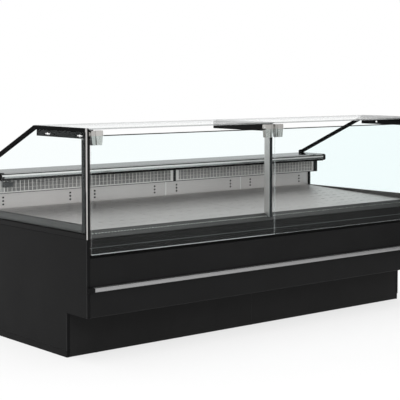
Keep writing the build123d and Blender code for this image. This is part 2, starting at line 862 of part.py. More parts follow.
# Main switch housing: a panel-mounted frame with a pocket for the rocker
rocker_axis_y = rear_face + bezel_thickness - rocker_thickness - rocker_clearance
with BuildPart() as main_switch:
    with BuildSketch(Plane.XZ.offset(switch_depth - rear_face)):
        with Locations((switch_x, controls_height)):
            Rectangle(switch_width, switch_height)
    extrude(amount=-switch_depth)
    with BuildSketch(Plane.XZ.offset(-rear_face)):
        with Locations((switch_x, controls_height)):
            Rectangle(switch_width + 2 * bezel, switch_height + 2 * bezel)
    extrude(amount=-bezel_thickness)
    fillet(main_switch.faces().sort_by(Axis.Y)[-1].edges(), bezel_thickness / 3)
    with BuildSketch(Plane.XZ.offset(-rear_face - bezel_thickness)):
        with Locations((switch_x, controls_height)):
            Rectangle(rocker_width + 2 * rocker_clearance, rocker_height + 4 * rocker_clearance)
    extrude(amount=rocker_pocket_depth + bezel_thickness, mode=Mode.SUBTRACT)
    pin_half = rocker_width / 2 + 2 * rocker_pin_radius
    with BuildSketch(Plane.YZ.offset(switch_x - pin_half)):
        with Locations((rocker_axis_y, controls_height)):
            Circle(rocker_pin_radius + pin_clearance)
    extrude(amount=2 * pin_half, mode=Mode.SUBTRACT)
save(main_switch.part, "main_switch")

# Main switch rocker: a shallow tilting key on two trunnions
with BuildPart() as rocker:
    key_face = rear_face + bezel_thickness - rocker_clearance
    with BuildSketch(Plane.YZ.offset(switch_x - rocker_width / 2)):
        with BuildLine():
            Polyline(
                (rocker_axis_y - rocker_pin_radius - rocker_clearance, controls_height - rocker_height / 4),
                (key_face - 2 * rocker_clearance, controls_height - rocker_height / 2),
                (key_face, controls_height - rocker_height / 2),
                (key_face - 2 * rocker_clearance, controls_height),
                (key_face, controls_height + rocker_height / 2),
                (key_face - 2 * rocker_clearance, controls_height + rocker_height / 2),
                (rocker_axis_y - rocker_pin_radius - rocker_clearance, controls_height + rocker_height / 4),
                close=True,
            )
        make_face()
    extrude(amount=rocker_width)
    with BuildSketch(Plane.YZ.offset(switch_x - pin_half + rocker_clearance)):
        with Locations((rocker_axis_y, controls_height)):
            Circle(rocker_pin_radius)
    extrude(amount=2 * (pin_half - rocker_clearance))
save(rocker.part, "main_switch_rocker")

# Terminal box with a cable gland in its underside
with BuildPart() as terminal_box:
    box_ends = (terminal_box_x, terminal_box_x + terminal_box_length)
    box_depths = (rear_panel_front - terminal_box_depth, rear_panel_front)
    block(box_ends, box_depths, (terminal_box_bottom, terminal_box_bottom + terminal_box_height))
    fillet(terminal_box.edges().filter_by(Axis.Z), bend_radius)
    gland_place = (terminal_box_x + terminal_box_length / 4, box_depths[0] + 1.5 * gland_radius)
    with BuildSketch(Plane.XY.offset(terminal_box_bottom - gland_length)):
        with Locations(gland_place):
            Circle(gland_radius)
    extrude(amount=gland_length)
    with BuildSketch(Plane.XY.offset(terminal_box_bottom - gland_length)):
        with Locations(gland_place):
            Circle(gland_bore_radius)
    extrude(amount=gland_length + gland_radius, mode=Mode.SUBTRACT)
save(terminal_box.part, "terminal_box")

# Evaporator fin block: end plates and fins under one cover sheet
with BuildPart() as evaporator_fins:
    fin_spacing = 2 * coil_half / (fin_count + 1)
    fin_spans = (coil_y - fin_depth / 2, coil_y + fin_depth / 2)
    fin_rise = (fin_bottom, fin_top)
    for index in range(fin_count):
        fin_x = (index + 1) * fin_spacing - coil_half
        block((fin_x - fin_thickness / 2, fin_x + fin_thickness / 2), fin_spans, fin_rise)
    plate_end = coil_half + end_plate_thickness
    block((coil_half, plate_end), fin_spans, (tub_floor_top, fin_top))
    block((-plate_end, -coil_half), fin_spans, (tub_floor_top, fin_top))
    block((-plate_end, plate_end), fin_spans, (fin_top, fin_top + sheet))
    with BuildSketch(Plane.YZ.offset(-plate_end)):
        with Locations((coil_y, (coil_bottom + coil_top) / 2)):
            with GridLocations(coil_spacing, coil_spacing, 1, coil_passes):
                Circle(coil_tube_radius + shaft_clearance)
    extrude(amount=2 * plate_end, mode=Mode.SUBTRACT)
save(evaporator_fins.part, "evaporator_fins")

# Evaporator coil: one tube folded to and fro through the fins
with BuildPart() as evaporator_coil:
    bend_x = coil_half + 2 * end_plate_thickness
    with BuildLine(Plane.XZ.offset(-coil_y)) as coil_path:
        Line((coil_end, coil_bottom), (-bend_x, coil_bottom))
        for run in range(coil_passes - 1):
            low = coil_bottom + run * coil_spacing
            high = low + coil_spacing
            turn = -1 if run % 2 == 0 else 1
            bulge = (turn * (bend_x + coil_spacing / 2), low + coil_spacing / 2)
            ThreePointArc((turn * bend_x, low), bulge, (turn * bend_x, high))
            run_end = coil_end if run == coil_passes - 2 else bend_x
            Line((turn * bend_x, high), (-turn * run_end, high))
    with BuildSketch(Plane.YZ.offset(coil_end)):
        with Locations((coil_y, coil_bottom)):
            Circle(coil_tube_radius)
    sweep(path=coil_path.wires()[0])
save(evaporator_coil.part, "evaporator_coil")


def line_drop(start_x: float, height: float, drop_x: float, bend: float, radius: float) -> Part:
    """Makes a pipe that leaves the coil along X, turns down and ends in a connection stub."""
    stub_top = line_end_height + line_stub_length
    with BuildPart() as pipe:
        with BuildLine(Plane.XZ.offset(-coil_y)) as pipe_path:
            FilletPolyline((start_x, height), (drop_x, height), (drop_x, stub_top), radius=bend)
        with BuildSketch(Plane.YZ.offset(start_x)):
            with Locations((coil_y, height)):
                Circle(radius)
        sweep(path=pipe_path.wires()[0])
        with BuildSketch(Plane.XY.offset(line_end_height)):
            with Locations((drop_x, coil_y)):
                Circle(radius - line_stub_step)
        extrude(amount=line_stub_length)
    return pipe.part


# Refrigerant lines: the liquid line with its expansion valve, and the suction line
with BuildPart() as expansion_valve:
    with BuildSketch(Plane.YZ.offset(coil_end)):
        with Locations((coil_y, coil_bottom)):
            RegularPolygon(valve_radius, 6)
    extrude(amount=valve_length)
    valve_x = coil_end + valve_length / 2
    with BuildSketch(Plane.XY.offset(coil_bottom)):
        with Locations((valve_x, coil_y)):
            Circle(valve_length / 3)
    extrude(amount=valve_stem_height)
    with BuildSketch(Plane.XY.offset(coil_bottom + valve_stem_height)):
        with Locations((valve_x, coil_y)):
            Circle(valve_head_radius)
    extrude(amount=valve_head_height)
    fillet(expansion_valve.faces().sort_by(Axis.Z)[-1].edges(), valve_head_height / 3)
liquid_start = coil_end + valve_length
liquid_line = line_drop(liquid_start, coil_bottom, liquid_line_x, liquid_line_bend, liquid_line_radius)
suction_line = line_drop(coil_end, coil_top, suction_line_x, suction_line_bend, suction_line_radius)
save(Compound(children=[expansion_valve.part, liquid_line, suction_line]), "refrigerant_lines")

# Fan plate: the wall across the tub that the fans blow through
with BuildPart() as fan_plate:
    with BuildSketch(Plane.XZ.offset(-fan_plate_front)):
        with Locations((0, (tub_floor_top + deck_seat_height) / 2)):
            Rectangle(2 * (tub_half - side_joint), deck_seat_height - tub_floor_top)
        with Locations(*[(x, fan_axis_height) for x in fan_places]):
            Circle(fan_opening_radius, mode=Mode.SUBTRACT)
    extrude(amount=-sheet)
save(fan_plate.part, "fan_plate")

# Fan motors: each on an upright strap across its opening, with a shaft through it
with BuildPart() as fan_motors:
    strap_height = 2 * (fan_opening_radius + fan_strap_overlap)
    strap_front = fan_plate_front - fan_strap_thickness
    motor_places = [(x, fan_axis_height) for x in fan_places]
    with BuildSketch(Plane.XZ.offset(-strap_front)):
        with Locations(*motor_places):
            Rectangle(fan_strap_width, strap_height)
    extrude(amount=-fan_strap_thickness)
    with BuildSketch(Plane.XZ.offset(motor_length - strap_front)):
        with Locations(*motor_places):
            Circle(motor_radius)
    extrude(amount=-motor_length)
    fillet(fan_motors.faces().group_by(Axis.Y)[0].edges(), bend_radius)
    with BuildSketch(Plane.XZ.offset(-strap_front)):
        with Locations(*motor_places):
            Circle(shaft_radius)
    extrude(amount=-(fan_rotor_front + fan_hub_length + fan_stand_off - strap_front))
save(fan_motors.part, "fan_motors")

# Fan rotors: bored hubs with pitched blades
for place, name in zip(fan_places, ("fan_rotor_left", "fan_rotor_middle", "fan_rotor_right")):
    with BuildPart() as fan_rotor:
        rotor_middle = fan_rotor_front + fan_hub_length / 2
        hub_plane = Plane.XZ.offset(-fan_rotor_front)
        with BuildSketch(hub_plane):
            with Locations((place, fan_axis_height)):
                Circle(fan_hub_radius)
        extrude(amount=-fan_hub_length)
        blade_origin = (place, rotor_middle, fan_axis_height)
        for index in range(fan_blade_count):
            blade_angle = 360.0 * index / fan_blade_count
            radial = Vector(cos(radians(blade_angle)), 0, sin(radians(blade_angle)))
            chordwise = Vector(0, 1, 0).rotate(Axis((0, 0, 0), radial), 90 - fan_blade_twist)
            blade_plane = Plane(origin=blade_origin, x_dir=chordwise, z_dir=radial)
            with BuildSketch(blade_plane.offset(fan_hub_radius / 2)):
                Rectangle(fan_blade_chord, fan_blade_thickness)
            extrude(amount=fan_radius - fan_hub_radius / 2)
        with BuildSketch(hub_plane):
            with Locations((place, fan_axis_height)):
                Circle(shaft_radius + shaft_clearance)
        extrude(amount=-fan_hub_length, mode=Mode.SUBTRACT)
    save(fan_rotor.part, name)

# Drain outlet: a flanged pipe through the tub floor
with BuildPart() as drain_outlet:
    with BuildSketch(Plane.XY.offset(drain_end_height)):
        with Locations((drain_x, drain_y)):
            Circle(drain_radius)
    extrude(amount=drain_spigot_length)
    with BuildSketch(Plane.XY.offset(drain_end_height + drain_spigot_length)):
        with Locations((drain_x, drain_y)):
            Circle(drain_radius + drain_sleeve)
    extrude(amount=tub_floor_top - drain_end_height - drain_spigot_length)
    with BuildSketch(Plane.XY.offset(tub_floor_top)):
        with Locations((drain_x, drain_y)):
            Circle(drain_flange_radius)
    extrude(amount=drain_flange_thickness)
    with Locations((drain_x, drain_y, tub_floor_top + drain_flange_thickness)):
        Hole(drain_radius - drain_wall)
save(drain_outlet.part, "drain_outlet")

# Glass channels: black slotted rails on top of the end panels
with BuildPart() as glass_channels:
    channel_span = (profile_back, end_glass_rear)
    block((half_inner, half_length), channel_span, (channel_bottom, channel_top))
    slot_span = (glass_inner - glass_clearance, glass_outer + glass_clearance)
    block(slot_span, channel_span, (channel_floor, channel_top), mode=Mode.SUBTRACT)
    mirror(about=Plane.YZ)
save(glass_channels.part, "glass_channels")

# Corner profiles: bright strips over the front edges of the end glass
with BuildPart() as corner_profiles:
    profile_span = (half_length - corner_profile_width, half_length)
    block(profile_span, (profile_front, profile_back), (channel_bottom, overall_height))
    fillet(corner_profiles.edges().filter_by(Axis.Z), sheet)
    mirror(about=Plane.YZ)
save(corner_profiles.part, "corner_profiles")

# End glass: stepped round the worktop, sloping down behind the level top
for side, name in ((-1, "end_glass_left"), (1, "end_glass_right")):
    with BuildPart() as end_glass:
        notch_front = worktop_nose - glass_notch_clearance
        with BuildSketch(Plane.YZ.offset(side * glass_inner)):
            with BuildLine():
                Polyline(
                    (profile_back, channel_floor),
                    (end_glass_rear, channel_floor),
                    (end_glass_rear, worktop_bottom - glass_notch_clearance),
                    (notch_front, worktop_bottom - glass_notch_clearance),
                    (notch_front, worktop_height + rail_end_clearance),
                    (end_glass_tail, worktop_height + rail_end_clearance),
                    (end_glass_tail, rail_line(end_glass_tail, rail_glass_overlap)),
                    rail_knee(rail_glass_overlap),
                    (profile_back, overall_height - rail_glass_overlap),
                    close=True,
                )
            make_face()
        extrude(amount=side * glass_thickness)
        with BuildSketch(Plane.YZ.offset(side * glass_inner)):
            with Locations(*bolt_places):
                Circle(bracket_bolt_radius + bracket_bolt_clearance)
        extrude(amount=side * glass_thickness, mode=Mode.SUBTRACT)
    save(end_glass.part, name)

# End rails: black slotted bars along the top and the slope of each end glass
with BuildPart() as end_rails:
    inner_end_z = worktop_height + rail_end_clearance
    inner_end_y = rail_corner + (rail_line(rail_corner, rail_size) - inner_end_z) / tan(slope_angle)
    outer_end_y = inner_end_y + rail_size * sin(slope_angle)
    slot_end_y = inner_end_y + (rail_size - rail_glass_overlap) * sin(slope_angle)
    with BuildSketch(Plane.YZ.offset(half_inner)):
        with BuildLine():
            Polyline(
                (profile_back, overall_height),
                rail_knee(0),
                (outer_end_y, rail_line(outer_end_y, 0)),
                (inner_end_y, rail_line(inner_end_y, rail_size)),
                rail_knee(rail_size),
                (profile_back, overall_height - rail_size),
                close=True,
            )
        make_face()
    extrude(amount=end_thickness)
    with BuildSketch(Plane.YZ.offset(glass_inner - glass_clearance)):
        with BuildLine():
            Polyline(
                (profile_back, overall_height - rail_glass_overlap),
                rail_knee(rail_glass_overlap),
                (slot_end_y, rail_line(slot_end_y, rail_glass_overlap)),
                (inner_end_y, rail_line(inner_end_y, rail_size)),
                rail_knee(rail_size),
                (profile_back, overall_height - rail_size),
                close=True,
            )
        make_face()
    extrude(amount=glass_thickness + 2 * glass_clearance, mode=Mode.SUBTRACT)
    mirror(about=Plane.YZ)
save(end_rails.part, "end_rails")

# End posts: black bars behind the front edges of the end glass, from the ledge to the top brackets
with BuildPart() as end_posts:
    post_end = profile_back + end_post_width
    block((half_inner, glass_inner), (profile_back, post_end), (channel_top, overall_height - rail_size))
    with BuildSketch(Plane.YZ.offset(glass_inner - end_post_thickness)):
        with BuildLine():
            Polyline(
                (profile_back, ledge_line(profile_back) + post_clearance),
                (profile_back, bracket_bottom),
                (post_end, bracket_bottom),
                (post_end, ledge_line(post_end) + post_clearance),
                close=True,
            )
        make_face()
    extrude(amount=half_inner - glass_inner + end_post_thickness)
    mirror(about=Plane.YZ)
save(end_posts.part, "end_posts")

# Top brackets: angles on the end glass that carry the top glass
with BuildPart() as top_brackets:
    bracket_depths = (profile_back, rail_corner)
    block((bracket_inner, half_inner), bracket_depths, (bracket_bottom, glass_seat))
    flange_span = (half_inner - bracket_flange, half_inner)
    block(flange_span, bracket_depths, (glass_seat - bracket_sheet, glass_seat))
    with BuildSketch(Plane.YZ.offset(bracket_inner)):
        with Locations(*bolt_places):
            Circle(bracket_bolt_radius + bracket_bolt_clearance)
    extrude(amount=bracket_sheet, mode=Mode.SUBTRACT)
    mirror(about=Plane.YZ)
save(top_brackets.part, "top_brackets")

# Bracket bolts: through the end glass into the top brackets
with BuildPart() as bracket_bolts:
    with BuildSketch(Plane.YZ.offset(bracket_inner - bracket_sheet)):
        with Locations(*bolt_places):
            Circle(bracket_bolt_radius)
    extrude(amount=glass_outer - bracket_inner + bracket_sheet)
    nut = (bracket_inner - bracket_bolt_head, bracket_inner)
    spacer = (half_inner, glass_inner)
    head = (glass_outer, glass_outer + bracket_bolt_head)
    for collar_start, collar_end in (nut, spacer, head):
        with BuildSketch(Plane.YZ.offset(collar_start)):
            with Locations(*bolt_places):
                Circle(bracket_bolt_head_radius)
        extrude(amount=collar_end - collar_start)
    mirror(about=Plane.YZ)
save(bracket_bolts.part, "bracket_bolts")

# Middle post and the arm it carries
with BuildPart() as middle_post:
    block((-post_width / 2, post_width / 2), (post_front, post_back), (deck_seat_height, arm_bottom))
    fillet(middle_post.edges().filter_by(Axis.Z), sheet)
save(middle_post.part, "middle_post")
with BuildPart() as middle_arm:
    block((-arm_width / 2, arm_width / 2), (post_front, top_glass_back), (arm_bottom, glass_seat))
    fillet(middle_arm.edges().filter_by(Axis.Y).group_by(Axis.Z)[0], sheet)
save(middle_arm.part, "middle_arm")

# Top glass: two level panes on the brackets and the arm
with BuildPart() as top_glass:
    glass_span = (top_glass_joint, half_inner - top_glass_end_gap)
    block(glass_span, (top_glass_lip, top_glass_back), (glass_seat, overall_height))
    mirror(about=Plane.YZ)
save(top_glass.part, "top_glass")


def hinge_lobe(x_span: tuple, reach: float, feet: tuple) -> Part:
    """Makes a bored fixed hinge block, tapered below the pivot, with a web that reaches back from it."""
    with BuildPart() as lobe:
        with BuildSketch(Plane.XZ.offset(-lobe_front)):
            with BuildLine():
                Polyline(
                    (feet[0], clamp_bottom),
                    (feet[1], clamp_bottom),
                    (x_span[1], pivot_height),
                    (x_span[1], hinge_top),
                    (x_span[0], hinge_top),
                    (x_span[0], pivot_height),
                    close=True,
                )
            make_face()
        extrude(amount=-hinge_depth)
        web_rise = (pivot_height - knuckle_radius, pivot_height + knuckle_radius)
        block(x_span, (pivot_y, pivot_y + reach), web_rise)
        with BuildSketch(Plane.YZ.offset(x_span[0])):
            with Locations((pivot_y, pivot_height)):
                Circle(pin_radius + pin_seat_clearance)
        extrude(amount=x_span[1] - x_span[0], mode=Mode.SUBTRACT)
    return lobe.part


# Hinge blocks: fixed knuckles on the top brackets and on the middle arm
with BuildPart() as end_hinge_blocks:
    lobe_feet = (end_lobe_inner, end_lobe_outer - lobe_taper)
    add(hinge_lobe((end_lobe_inner, end_lobe_outer), hinge_block_depth, lobe_feet))
    foot_front = profile_back + sheet
    foot_rise = (pivot_height - knuckle_radius, pivot_height + knuckle_radius)
    block((end_lobe_outer, bracket_inner), (foot_front, pivot_y + hinge_block_depth), foot_rise)
    mirror(about=Plane.YZ)
with BuildPart() as middle_hinge_block:
    plate_front = post_front - hinge_plate_thickness
    for near, far in ((middle_lobe_inner, middle_lobe_outer), (-middle_lobe_outer, -middle_lobe_inner)):
        taper = lobe_taper if near > 0 else 0.0
        lobe_feet = (near + taper, far + taper - lobe_taper)
        add(hinge_lobe((near, far), post_front - pivot_y, lobe_feet))
    plate_rise = (pivot_height - 2 * knuckle_radius, pivot_height + knuckle_radius)
    block((-middle_lobe_outer, middle_lobe_outer), (plate_front, post_front), plate_rise)
save(Compound(children=[end_hinge_blocks.part, middle_hinge_block.part]), "hinge_blocks")

# Hinge pins: one through each pair of knuckles
with BuildPart() as hinge_pins:
    for pin_start, pin_end in (
        (middle_lobe_inner, middle_clamp_outer),
        (end_clamp_inner, end_lobe_outer),
    ):
        with BuildSketch(Plane.YZ.offset(pin_start)):
            with Locations((pivot_y, pivot_height)):
                Circle(pin_radius)
        extrude(amount=pin_end - pin_start)
    mirror(about=Plane.YZ)
save(hinge_pins.part, "hinge_pins")


def clamp(x_start: float) -> Part:
    """Makes a tapered block bonded behind the top of a pane, bored to turn on a hinge pin."""
    with BuildPart() as grip:
        with BuildSketch(Plane.XZ.offset(-pane_back)) as plate:
            with BuildLine():
                Polyline(
                    (x_start + clamp_taper, clamp_bottom),
                    (x_start + clamp_width - clamp_taper, clamp_bottom),
                    (x_start + clamp_width, pivot_height),
                    (x_start + clamp_width, hinge_top),
                    (x_start, hinge_top),
                    (x_start, pivot_height),
                    close=True,
                )
            make_face()
            corner_rows = plate.vertices().group_by(Axis.Y)
            fillet(corner_rows[0] + corner_rows[-1], clamp_corner_radius)
        extrude(amount=-hinge_depth)
        with BuildSketch(Plane.YZ.offset(x_start)):
            with Locations((pivot_y, pivot_height)):
                Circle(pin_radius + pin_clearance)
        extrude(amount=clamp_width, mode=Mode.SUBTRACT)
    return grip.part


# Front panes and their clamps: each pane hangs on two clamps and lifts outward
for side, word in ((-1, "left"), (1, "right")):
    with BuildPart() as front_pane:
        pane_span = sorted((side * pane_joint, side * pane_outer))
        block(pane_span, (pane_face, pane_back), (pane_bottom, pane_top))
    save(front_pane.part, f"front_pane_{word}")
    with BuildPart() as pane_clamps:
        for near, far in ((middle_clamp_inner, middle_clamp_outer), (end_clamp_inner, end_clamp_outer)):
            add(clamp(min(side * near, side * far)))
    save(pane_clamps.part, f"pane_clamps_{word}")
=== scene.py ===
"""Looks of a refrigerated fish counter: finishes, small fittings, studio and camera, built on its CAD frame."""

import json
import logging
from collections.abc import Callable, Iterable, Sequence
from dataclasses import dataclass
from enum import Enum
from math import pi, radians

import bmesh
import bpy
from mathutils import Matrix, Vector


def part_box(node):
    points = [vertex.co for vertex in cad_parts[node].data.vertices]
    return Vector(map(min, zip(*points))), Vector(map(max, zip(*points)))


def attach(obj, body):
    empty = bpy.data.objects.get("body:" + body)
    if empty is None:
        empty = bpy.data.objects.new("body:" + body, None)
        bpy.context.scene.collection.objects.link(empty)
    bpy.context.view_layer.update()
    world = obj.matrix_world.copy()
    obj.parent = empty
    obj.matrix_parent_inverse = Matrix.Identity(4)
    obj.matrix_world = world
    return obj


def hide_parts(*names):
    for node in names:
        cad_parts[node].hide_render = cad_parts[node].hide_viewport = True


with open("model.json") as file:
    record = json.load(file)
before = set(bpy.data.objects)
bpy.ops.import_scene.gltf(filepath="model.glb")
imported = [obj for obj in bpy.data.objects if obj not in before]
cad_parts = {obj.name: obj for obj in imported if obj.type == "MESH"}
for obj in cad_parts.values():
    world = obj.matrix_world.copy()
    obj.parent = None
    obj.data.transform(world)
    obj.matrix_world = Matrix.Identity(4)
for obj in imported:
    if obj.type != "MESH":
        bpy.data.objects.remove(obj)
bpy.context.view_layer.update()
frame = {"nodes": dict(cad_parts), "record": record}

log = logging.getLogger("fish_counter")

MM = 0.001
MERGE_DISTANCE = 0.001 * MM
FLAT_ANGLE = radians(0.5)
SMOOTH_ANGLE = radians(32)
EDGE_ANGLE = radians(40)
CABINET = "cabinet"
SIDES = (-1, 1)

Colour = tuple[float, float, float]
Point = tuple[float, float, float]
Outline = Sequence[tuple[float, float]]
Operand = "Value | float"
Feed = "Value | float | Colour | Vector"


class Axis(Enum):
    """A direction of the part's own frame."""

    X = 0
    Y = 1
    Z = 2

    @property
    def vector(self) -> Vector:
        """The unit vector along the axis."""
        return Vector([1.0 if self.value == place else 0.0 for place in range(3)])


def operator(operation: str, reflected: bool = False) -> Callable[..., "Value"]:
    """Makes an operator that adds a Math node.

    Args:
        operation: The node's operation.
        reflected: Whether the value that the operator belongs to comes second.

    Returns:
        The operator as a method.
    """
    def method(value: "Value", other: Operand = 0.0) -> "Value":
        """Adds the Math node."""
        operands = (other, value) if reflected else (value, other)
        return value.graph.node("ShaderNodeMath", {"operation": operation}, dict(enumerate(operands)))
    return method


class Value:
    """A node's output socket, with arithmetic that adds Math nodes."""

    def __init__(self, graph: "Graph", socket: bpy.types.NodeSocket) -> None:
        """Keeps the graph and the socket."""
        self.graph = graph
        self.socket = socket

    __add__ = operator("ADD")
    __radd__ = operator("ADD", reflected=True)
    __sub__ = operator("SUBTRACT")
    __rsub__ = operator("SUBTRACT", reflected=True)
    __mul__ = operator("MULTIPLY")
    __rmul__ = operator("MULTIPLY", reflected=True)
    __pow__ = operator("POWER")
    __abs__ = operator("ABSOLUTE")
    larger = operator("MAXIMUM")


class Graph:
    """The node tree of one material or world."""

    def __init__(self, tree: bpy.types.NodeTree) -> None:
        """Empties the tree and keeps it."""
        tree.nodes.clear()
        self.tree = tree

    def node(self, kind: str, settings: dict | None = None, inputs: dict | None = None,
             output: int | str = 0) -> Value:
        """Adds a node.

        Args:
            kind: The node's type.
            settings: Its properties, set before its sockets.
            inputs: Values or links of its input sockets, by name or place.
            output: Which output the result reads.

        Returns:
            The chosen output.
        """
        made = self.tree.nodes.new(kind)
        for name, value in (settings or {}).items():
            setattr(made, name, value)
        for key, value in (inputs or {}).items():
            socket = made.inputs[key]
            if isinstance(value, Value):
                self.tree.links.new(value.socket, socket)
            elif socket.type == "RGBA":
                socket.default_value = (*value, 1.0)
            else:
                socket.default_value = value
        return Value(self, made.outputs[output]) if made.outputs else Value(self, None)

    def place(self) -> Value:
        """Object coordinates, which are the part's frame in metres."""
        return self.node("ShaderNodeTexCoord", output="Object")

    def normal(self, axis: Axis) -> Value:
        """How far the surface faces along an axis of the part's frame, from 0 to 1."""
        return abs(self.component(self.node("ShaderNodeTexCoord", output="Normal"), axis))

    def component(self, vector: Value, axis: Axis) -> Value:
        """One component of a vector."""
        return self.node("ShaderNodeSeparateXYZ", inputs={0: vector}, output=axis.value)

    def height(self) -> Value:
        """Height above the floor in metres."""
        return self.component(self.place(), Axis.Z)

    def noise(self, scale: Sequence[float], detail: float = 2.0, seed: float = 0.0) -> Value:
        """Adds noise over object coordinates.

        Args:
            scale: Cycles to the metre along X, Y and Z.
            detail: Octaves of finer noise.
            seed: Shift that tells one noise from another.

        Returns:
            The noise, about 0.5 in the middle.
        """
        mapped = self.node("ShaderNodeMapping", inputs={
            "Vector": self.place(), "Location": (seed, seed, seed), "Scale": tuple(scale)})
        return self.node("ShaderNodeTexNoise", inputs={"Vector": mapped, "Scale": 1.0, "Detail": detail})

    def spread(self, value: Value, source: tuple, target: tuple) -> Value:
        """Maps a value smoothly from one range to another, held at its ends."""
        return self.node("ShaderNodeMapRange", {"interpolation_type": "SMOOTHSTEP"}, {
            0: value, 1: source[0], 2: source[1], 3: target[0], 4: target[1]})

    def mix(self, factor: Operand, first: Feed, second: Feed) -> Value:
        """Mixes two colours."""
        return self.node("ShaderNodeMix", {"data_type": "RGBA"}, {0: factor, 6: first, 7: second}, output=2)

    def bump(self, height: Value, distance: float, strength: float = 1.0) -> Value:
        """Turns a height into a normal."""
        return self.node("ShaderNodeBump", inputs={
            "Height": height, "Distance": distance, "Strength": strength})

    def principled(self, **inputs: Feed) -> Value:
        """Adds a Principled shader, whose sockets are named with underscores for spaces."""
        named = {key.replace("_", " "): value for key, value in inputs.items()}
        return self.node("ShaderNodeBsdfPrincipled", inputs=named)

    def shader_mix(self, factor: Operand, first: Value, second: Value) -> Value:
        """Mixes two shaders."""
        return self.node("ShaderNodeMixShader", inputs={0: factor, 1: first, 2: second})

    def seen_directly(self) -> Value:
        """One for rays that show the scene itself, as seen, mirrored or through glass, else zero."""
        rays = {name: self.node("ShaderNodeLightPath", output=name)
                for name in ("Is Camera Ray", "Is Glossy Ray", "Is Transmission Ray")}
        return rays["Is Camera Ray"].larger(rays["Is Glossy Ray"]).larger(rays["Is Transmission Ray"])


@dataclass(frozen=True)
class Finish:
    """A surface finish, made into a material once."""

    name: str
    slot: str

    def material(self) -> bpy.types.Material:
        """The finish as a material, made the first time it is asked for."""
        known = bpy.data.materials.get(self.name)
        if known:
            return known
        made = bpy.data.materials.new(self.name)
        made.use_nodes = True
        graph = Graph(made.node_tree)
        graph.node("ShaderNodeOutputMaterial", inputs={"Surface": self.shade(graph)})
        return made

    def shade(self, graph: Graph) -> Value:
        """Builds the finish's shader in a graph."""
        raise NotImplementedError


@dataclass(frozen=True)
class Coating(Finish):
    """Paint or moulded plastic: fine orange peel, cloudy gloss and a little dust low down."""

    colour: Colour
    roughness: float = 0.4
    specular: float = 0.3
    peel_size: float = 1.2 * MM
    peel_depth: float = 0.03 * MM
    dust: float = 0.0
    dust_colour: Colour = (0.12, 0.115, 0.11)
    dust_height: float = 350 * MM
    dust_scale: Point = (60.0, 60.0, 9.0)
    cloud_scale: float = 5.0
    cloud_share: float = 0.45
    gloss_range: tuple[float, float] = (-0.05, 0.07)

    def shade(self, graph: Graph) -> Value:
        """Builds the coating's shader."""
        peel = graph.noise([1 / self.peel_size] * 3, detail=1.0)
        clouds = graph.noise([self.cloud_scale] * 3, detail=3.0, seed=4.0)
        pale = tuple(channel * 1.5 + 0.001 for channel in self.colour)
        tone = graph.mix(graph.spread(clouds, (0.3, 0.75), (0.0, self.cloud_share)), self.colour, pale)
        if self.dust:
            low = graph.spread(graph.height(), (0.0, self.dust_height), (self.dust, 0.0))
            tone = graph.mix(low * graph.noise(self.dust_scale, seed=9.0), tone, self.dust_colour)
        return graph.principled(
            Base_Color=tone,
            Roughness=graph.spread(clouds, (0.25, 0.8), [self.roughness + step for step in self.gloss_range]),
            Specular_IOR_Level=self.specular,
            Normal=graph.bump(peel, self.peel_depth),
        )


@dataclass(frozen=True)
class Metal(Finish):
    """Bare metal: grain drawn out along one axis, cloudy gloss, faint handling marks and, where asked, painted shade
    below a height.
    """

    colour: Colour
    roughness: float = 0.3
    grain: Axis = Axis.X
    grain_length: float = 160 * MM
    grain_width: float = 0.6 * MM
    grain_depth: float = 0.006 * MM
    contrast: float = 0.12
    fingering: float = 0.05
    edge_tint: float = 0.6
    # Height below which the colour is darkened as painted shade, and the share of the colour kept there.
    painted_shade_below: float = 0.0
    dark_share: float = 1.0
    cloud_scale: float = 4.0
    cloud_share: float = 0.3
    mark_scale: float = 22.0
    grain_gloss: float = 0.16
    least_roughness: float = 0.04

    def shade(self, graph: Graph) -> Value:
        """Builds the metal's shader."""
        scale = [1 / self.grain_width] * 3
        scale[self.grain.value] = 1 / self.grain_length
        lines = graph.noise(scale, detail=3.0)
        clouds = graph.noise([self.cloud_scale] * 3, detail=4.0, seed=2.0)
        marks = graph.noise([self.mark_scale] * 3, detail=5.0, seed=7.0)
        dark = tuple(channel * (1 - self.contrast) for channel in self.colour)
        pale = tuple(min(1.0, channel * (1 + self.contrast)) for channel in self.colour)
        pattern = lines * (1 - self.cloud_share) + clouds * self.cloud_share
        tone = graph.mix(graph.spread(pattern, (0.3, 0.7), (0.0, 1.0)), dark, pale)
        # Painted shade: below the given height the colour is darkened.
        if self.painted_shade_below:
            low = graph.spread(graph.height(), (self.painted_shade_below - MM, self.painted_shade_below), (1.0, 0.0))
            tone = graph.mix(low, tone, tuple(channel * self.dark_share for channel in self.colour))
        handled = graph.spread(marks, (0.5, 0.75), (0.0, self.fingering))
        gloss = self.roughness + (lines - 0.5) * self.grain_gloss + handled
        return graph.principled(
            Base_Color=tone,
            Metallic=1.0,
            Roughness=gloss.larger(self.least_roughness),
            Specular_Tint=(self.edge_tint,) * 3,
            Normal=graph.bump(lines, self.grain_depth),
        )


@dataclass(frozen=True)
class Galvanised(Finish):
    """Zinc-coated steel with its spangle of crystal flakes."""

    colour: Colour
    flake: float = 9 * MM
    dark_share: float = 0.72
    gloss_range: tuple[float, float] = (0.36, 0.52)
    ripple_scale: float = 400.0
    ripple_depth: float = 0.02 * MM

    def shade(self, graph: Graph) -> Value:
        """Builds the spangled shader."""
        cells = graph.node("ShaderNodeTexVoronoi", inputs={
            "Vector": graph.place(), "Scale": 1 / self.flake}, output="Color")
        flake = graph.node("ShaderNodeSeparateColor", inputs={0: cells})
        dark = tuple(channel * self.dark_share for channel in self.colour)
        return graph.principled(
            Base_Color=graph.mix(flake, dark, self.colour),
            Metallic=0.9,
            Roughness=graph.spread(flake, (0.0, 1.0), self.gloss_range),
            Normal=graph.bump(graph.noise([self.ripple_scale] * 3), self.ripple_depth),
        )


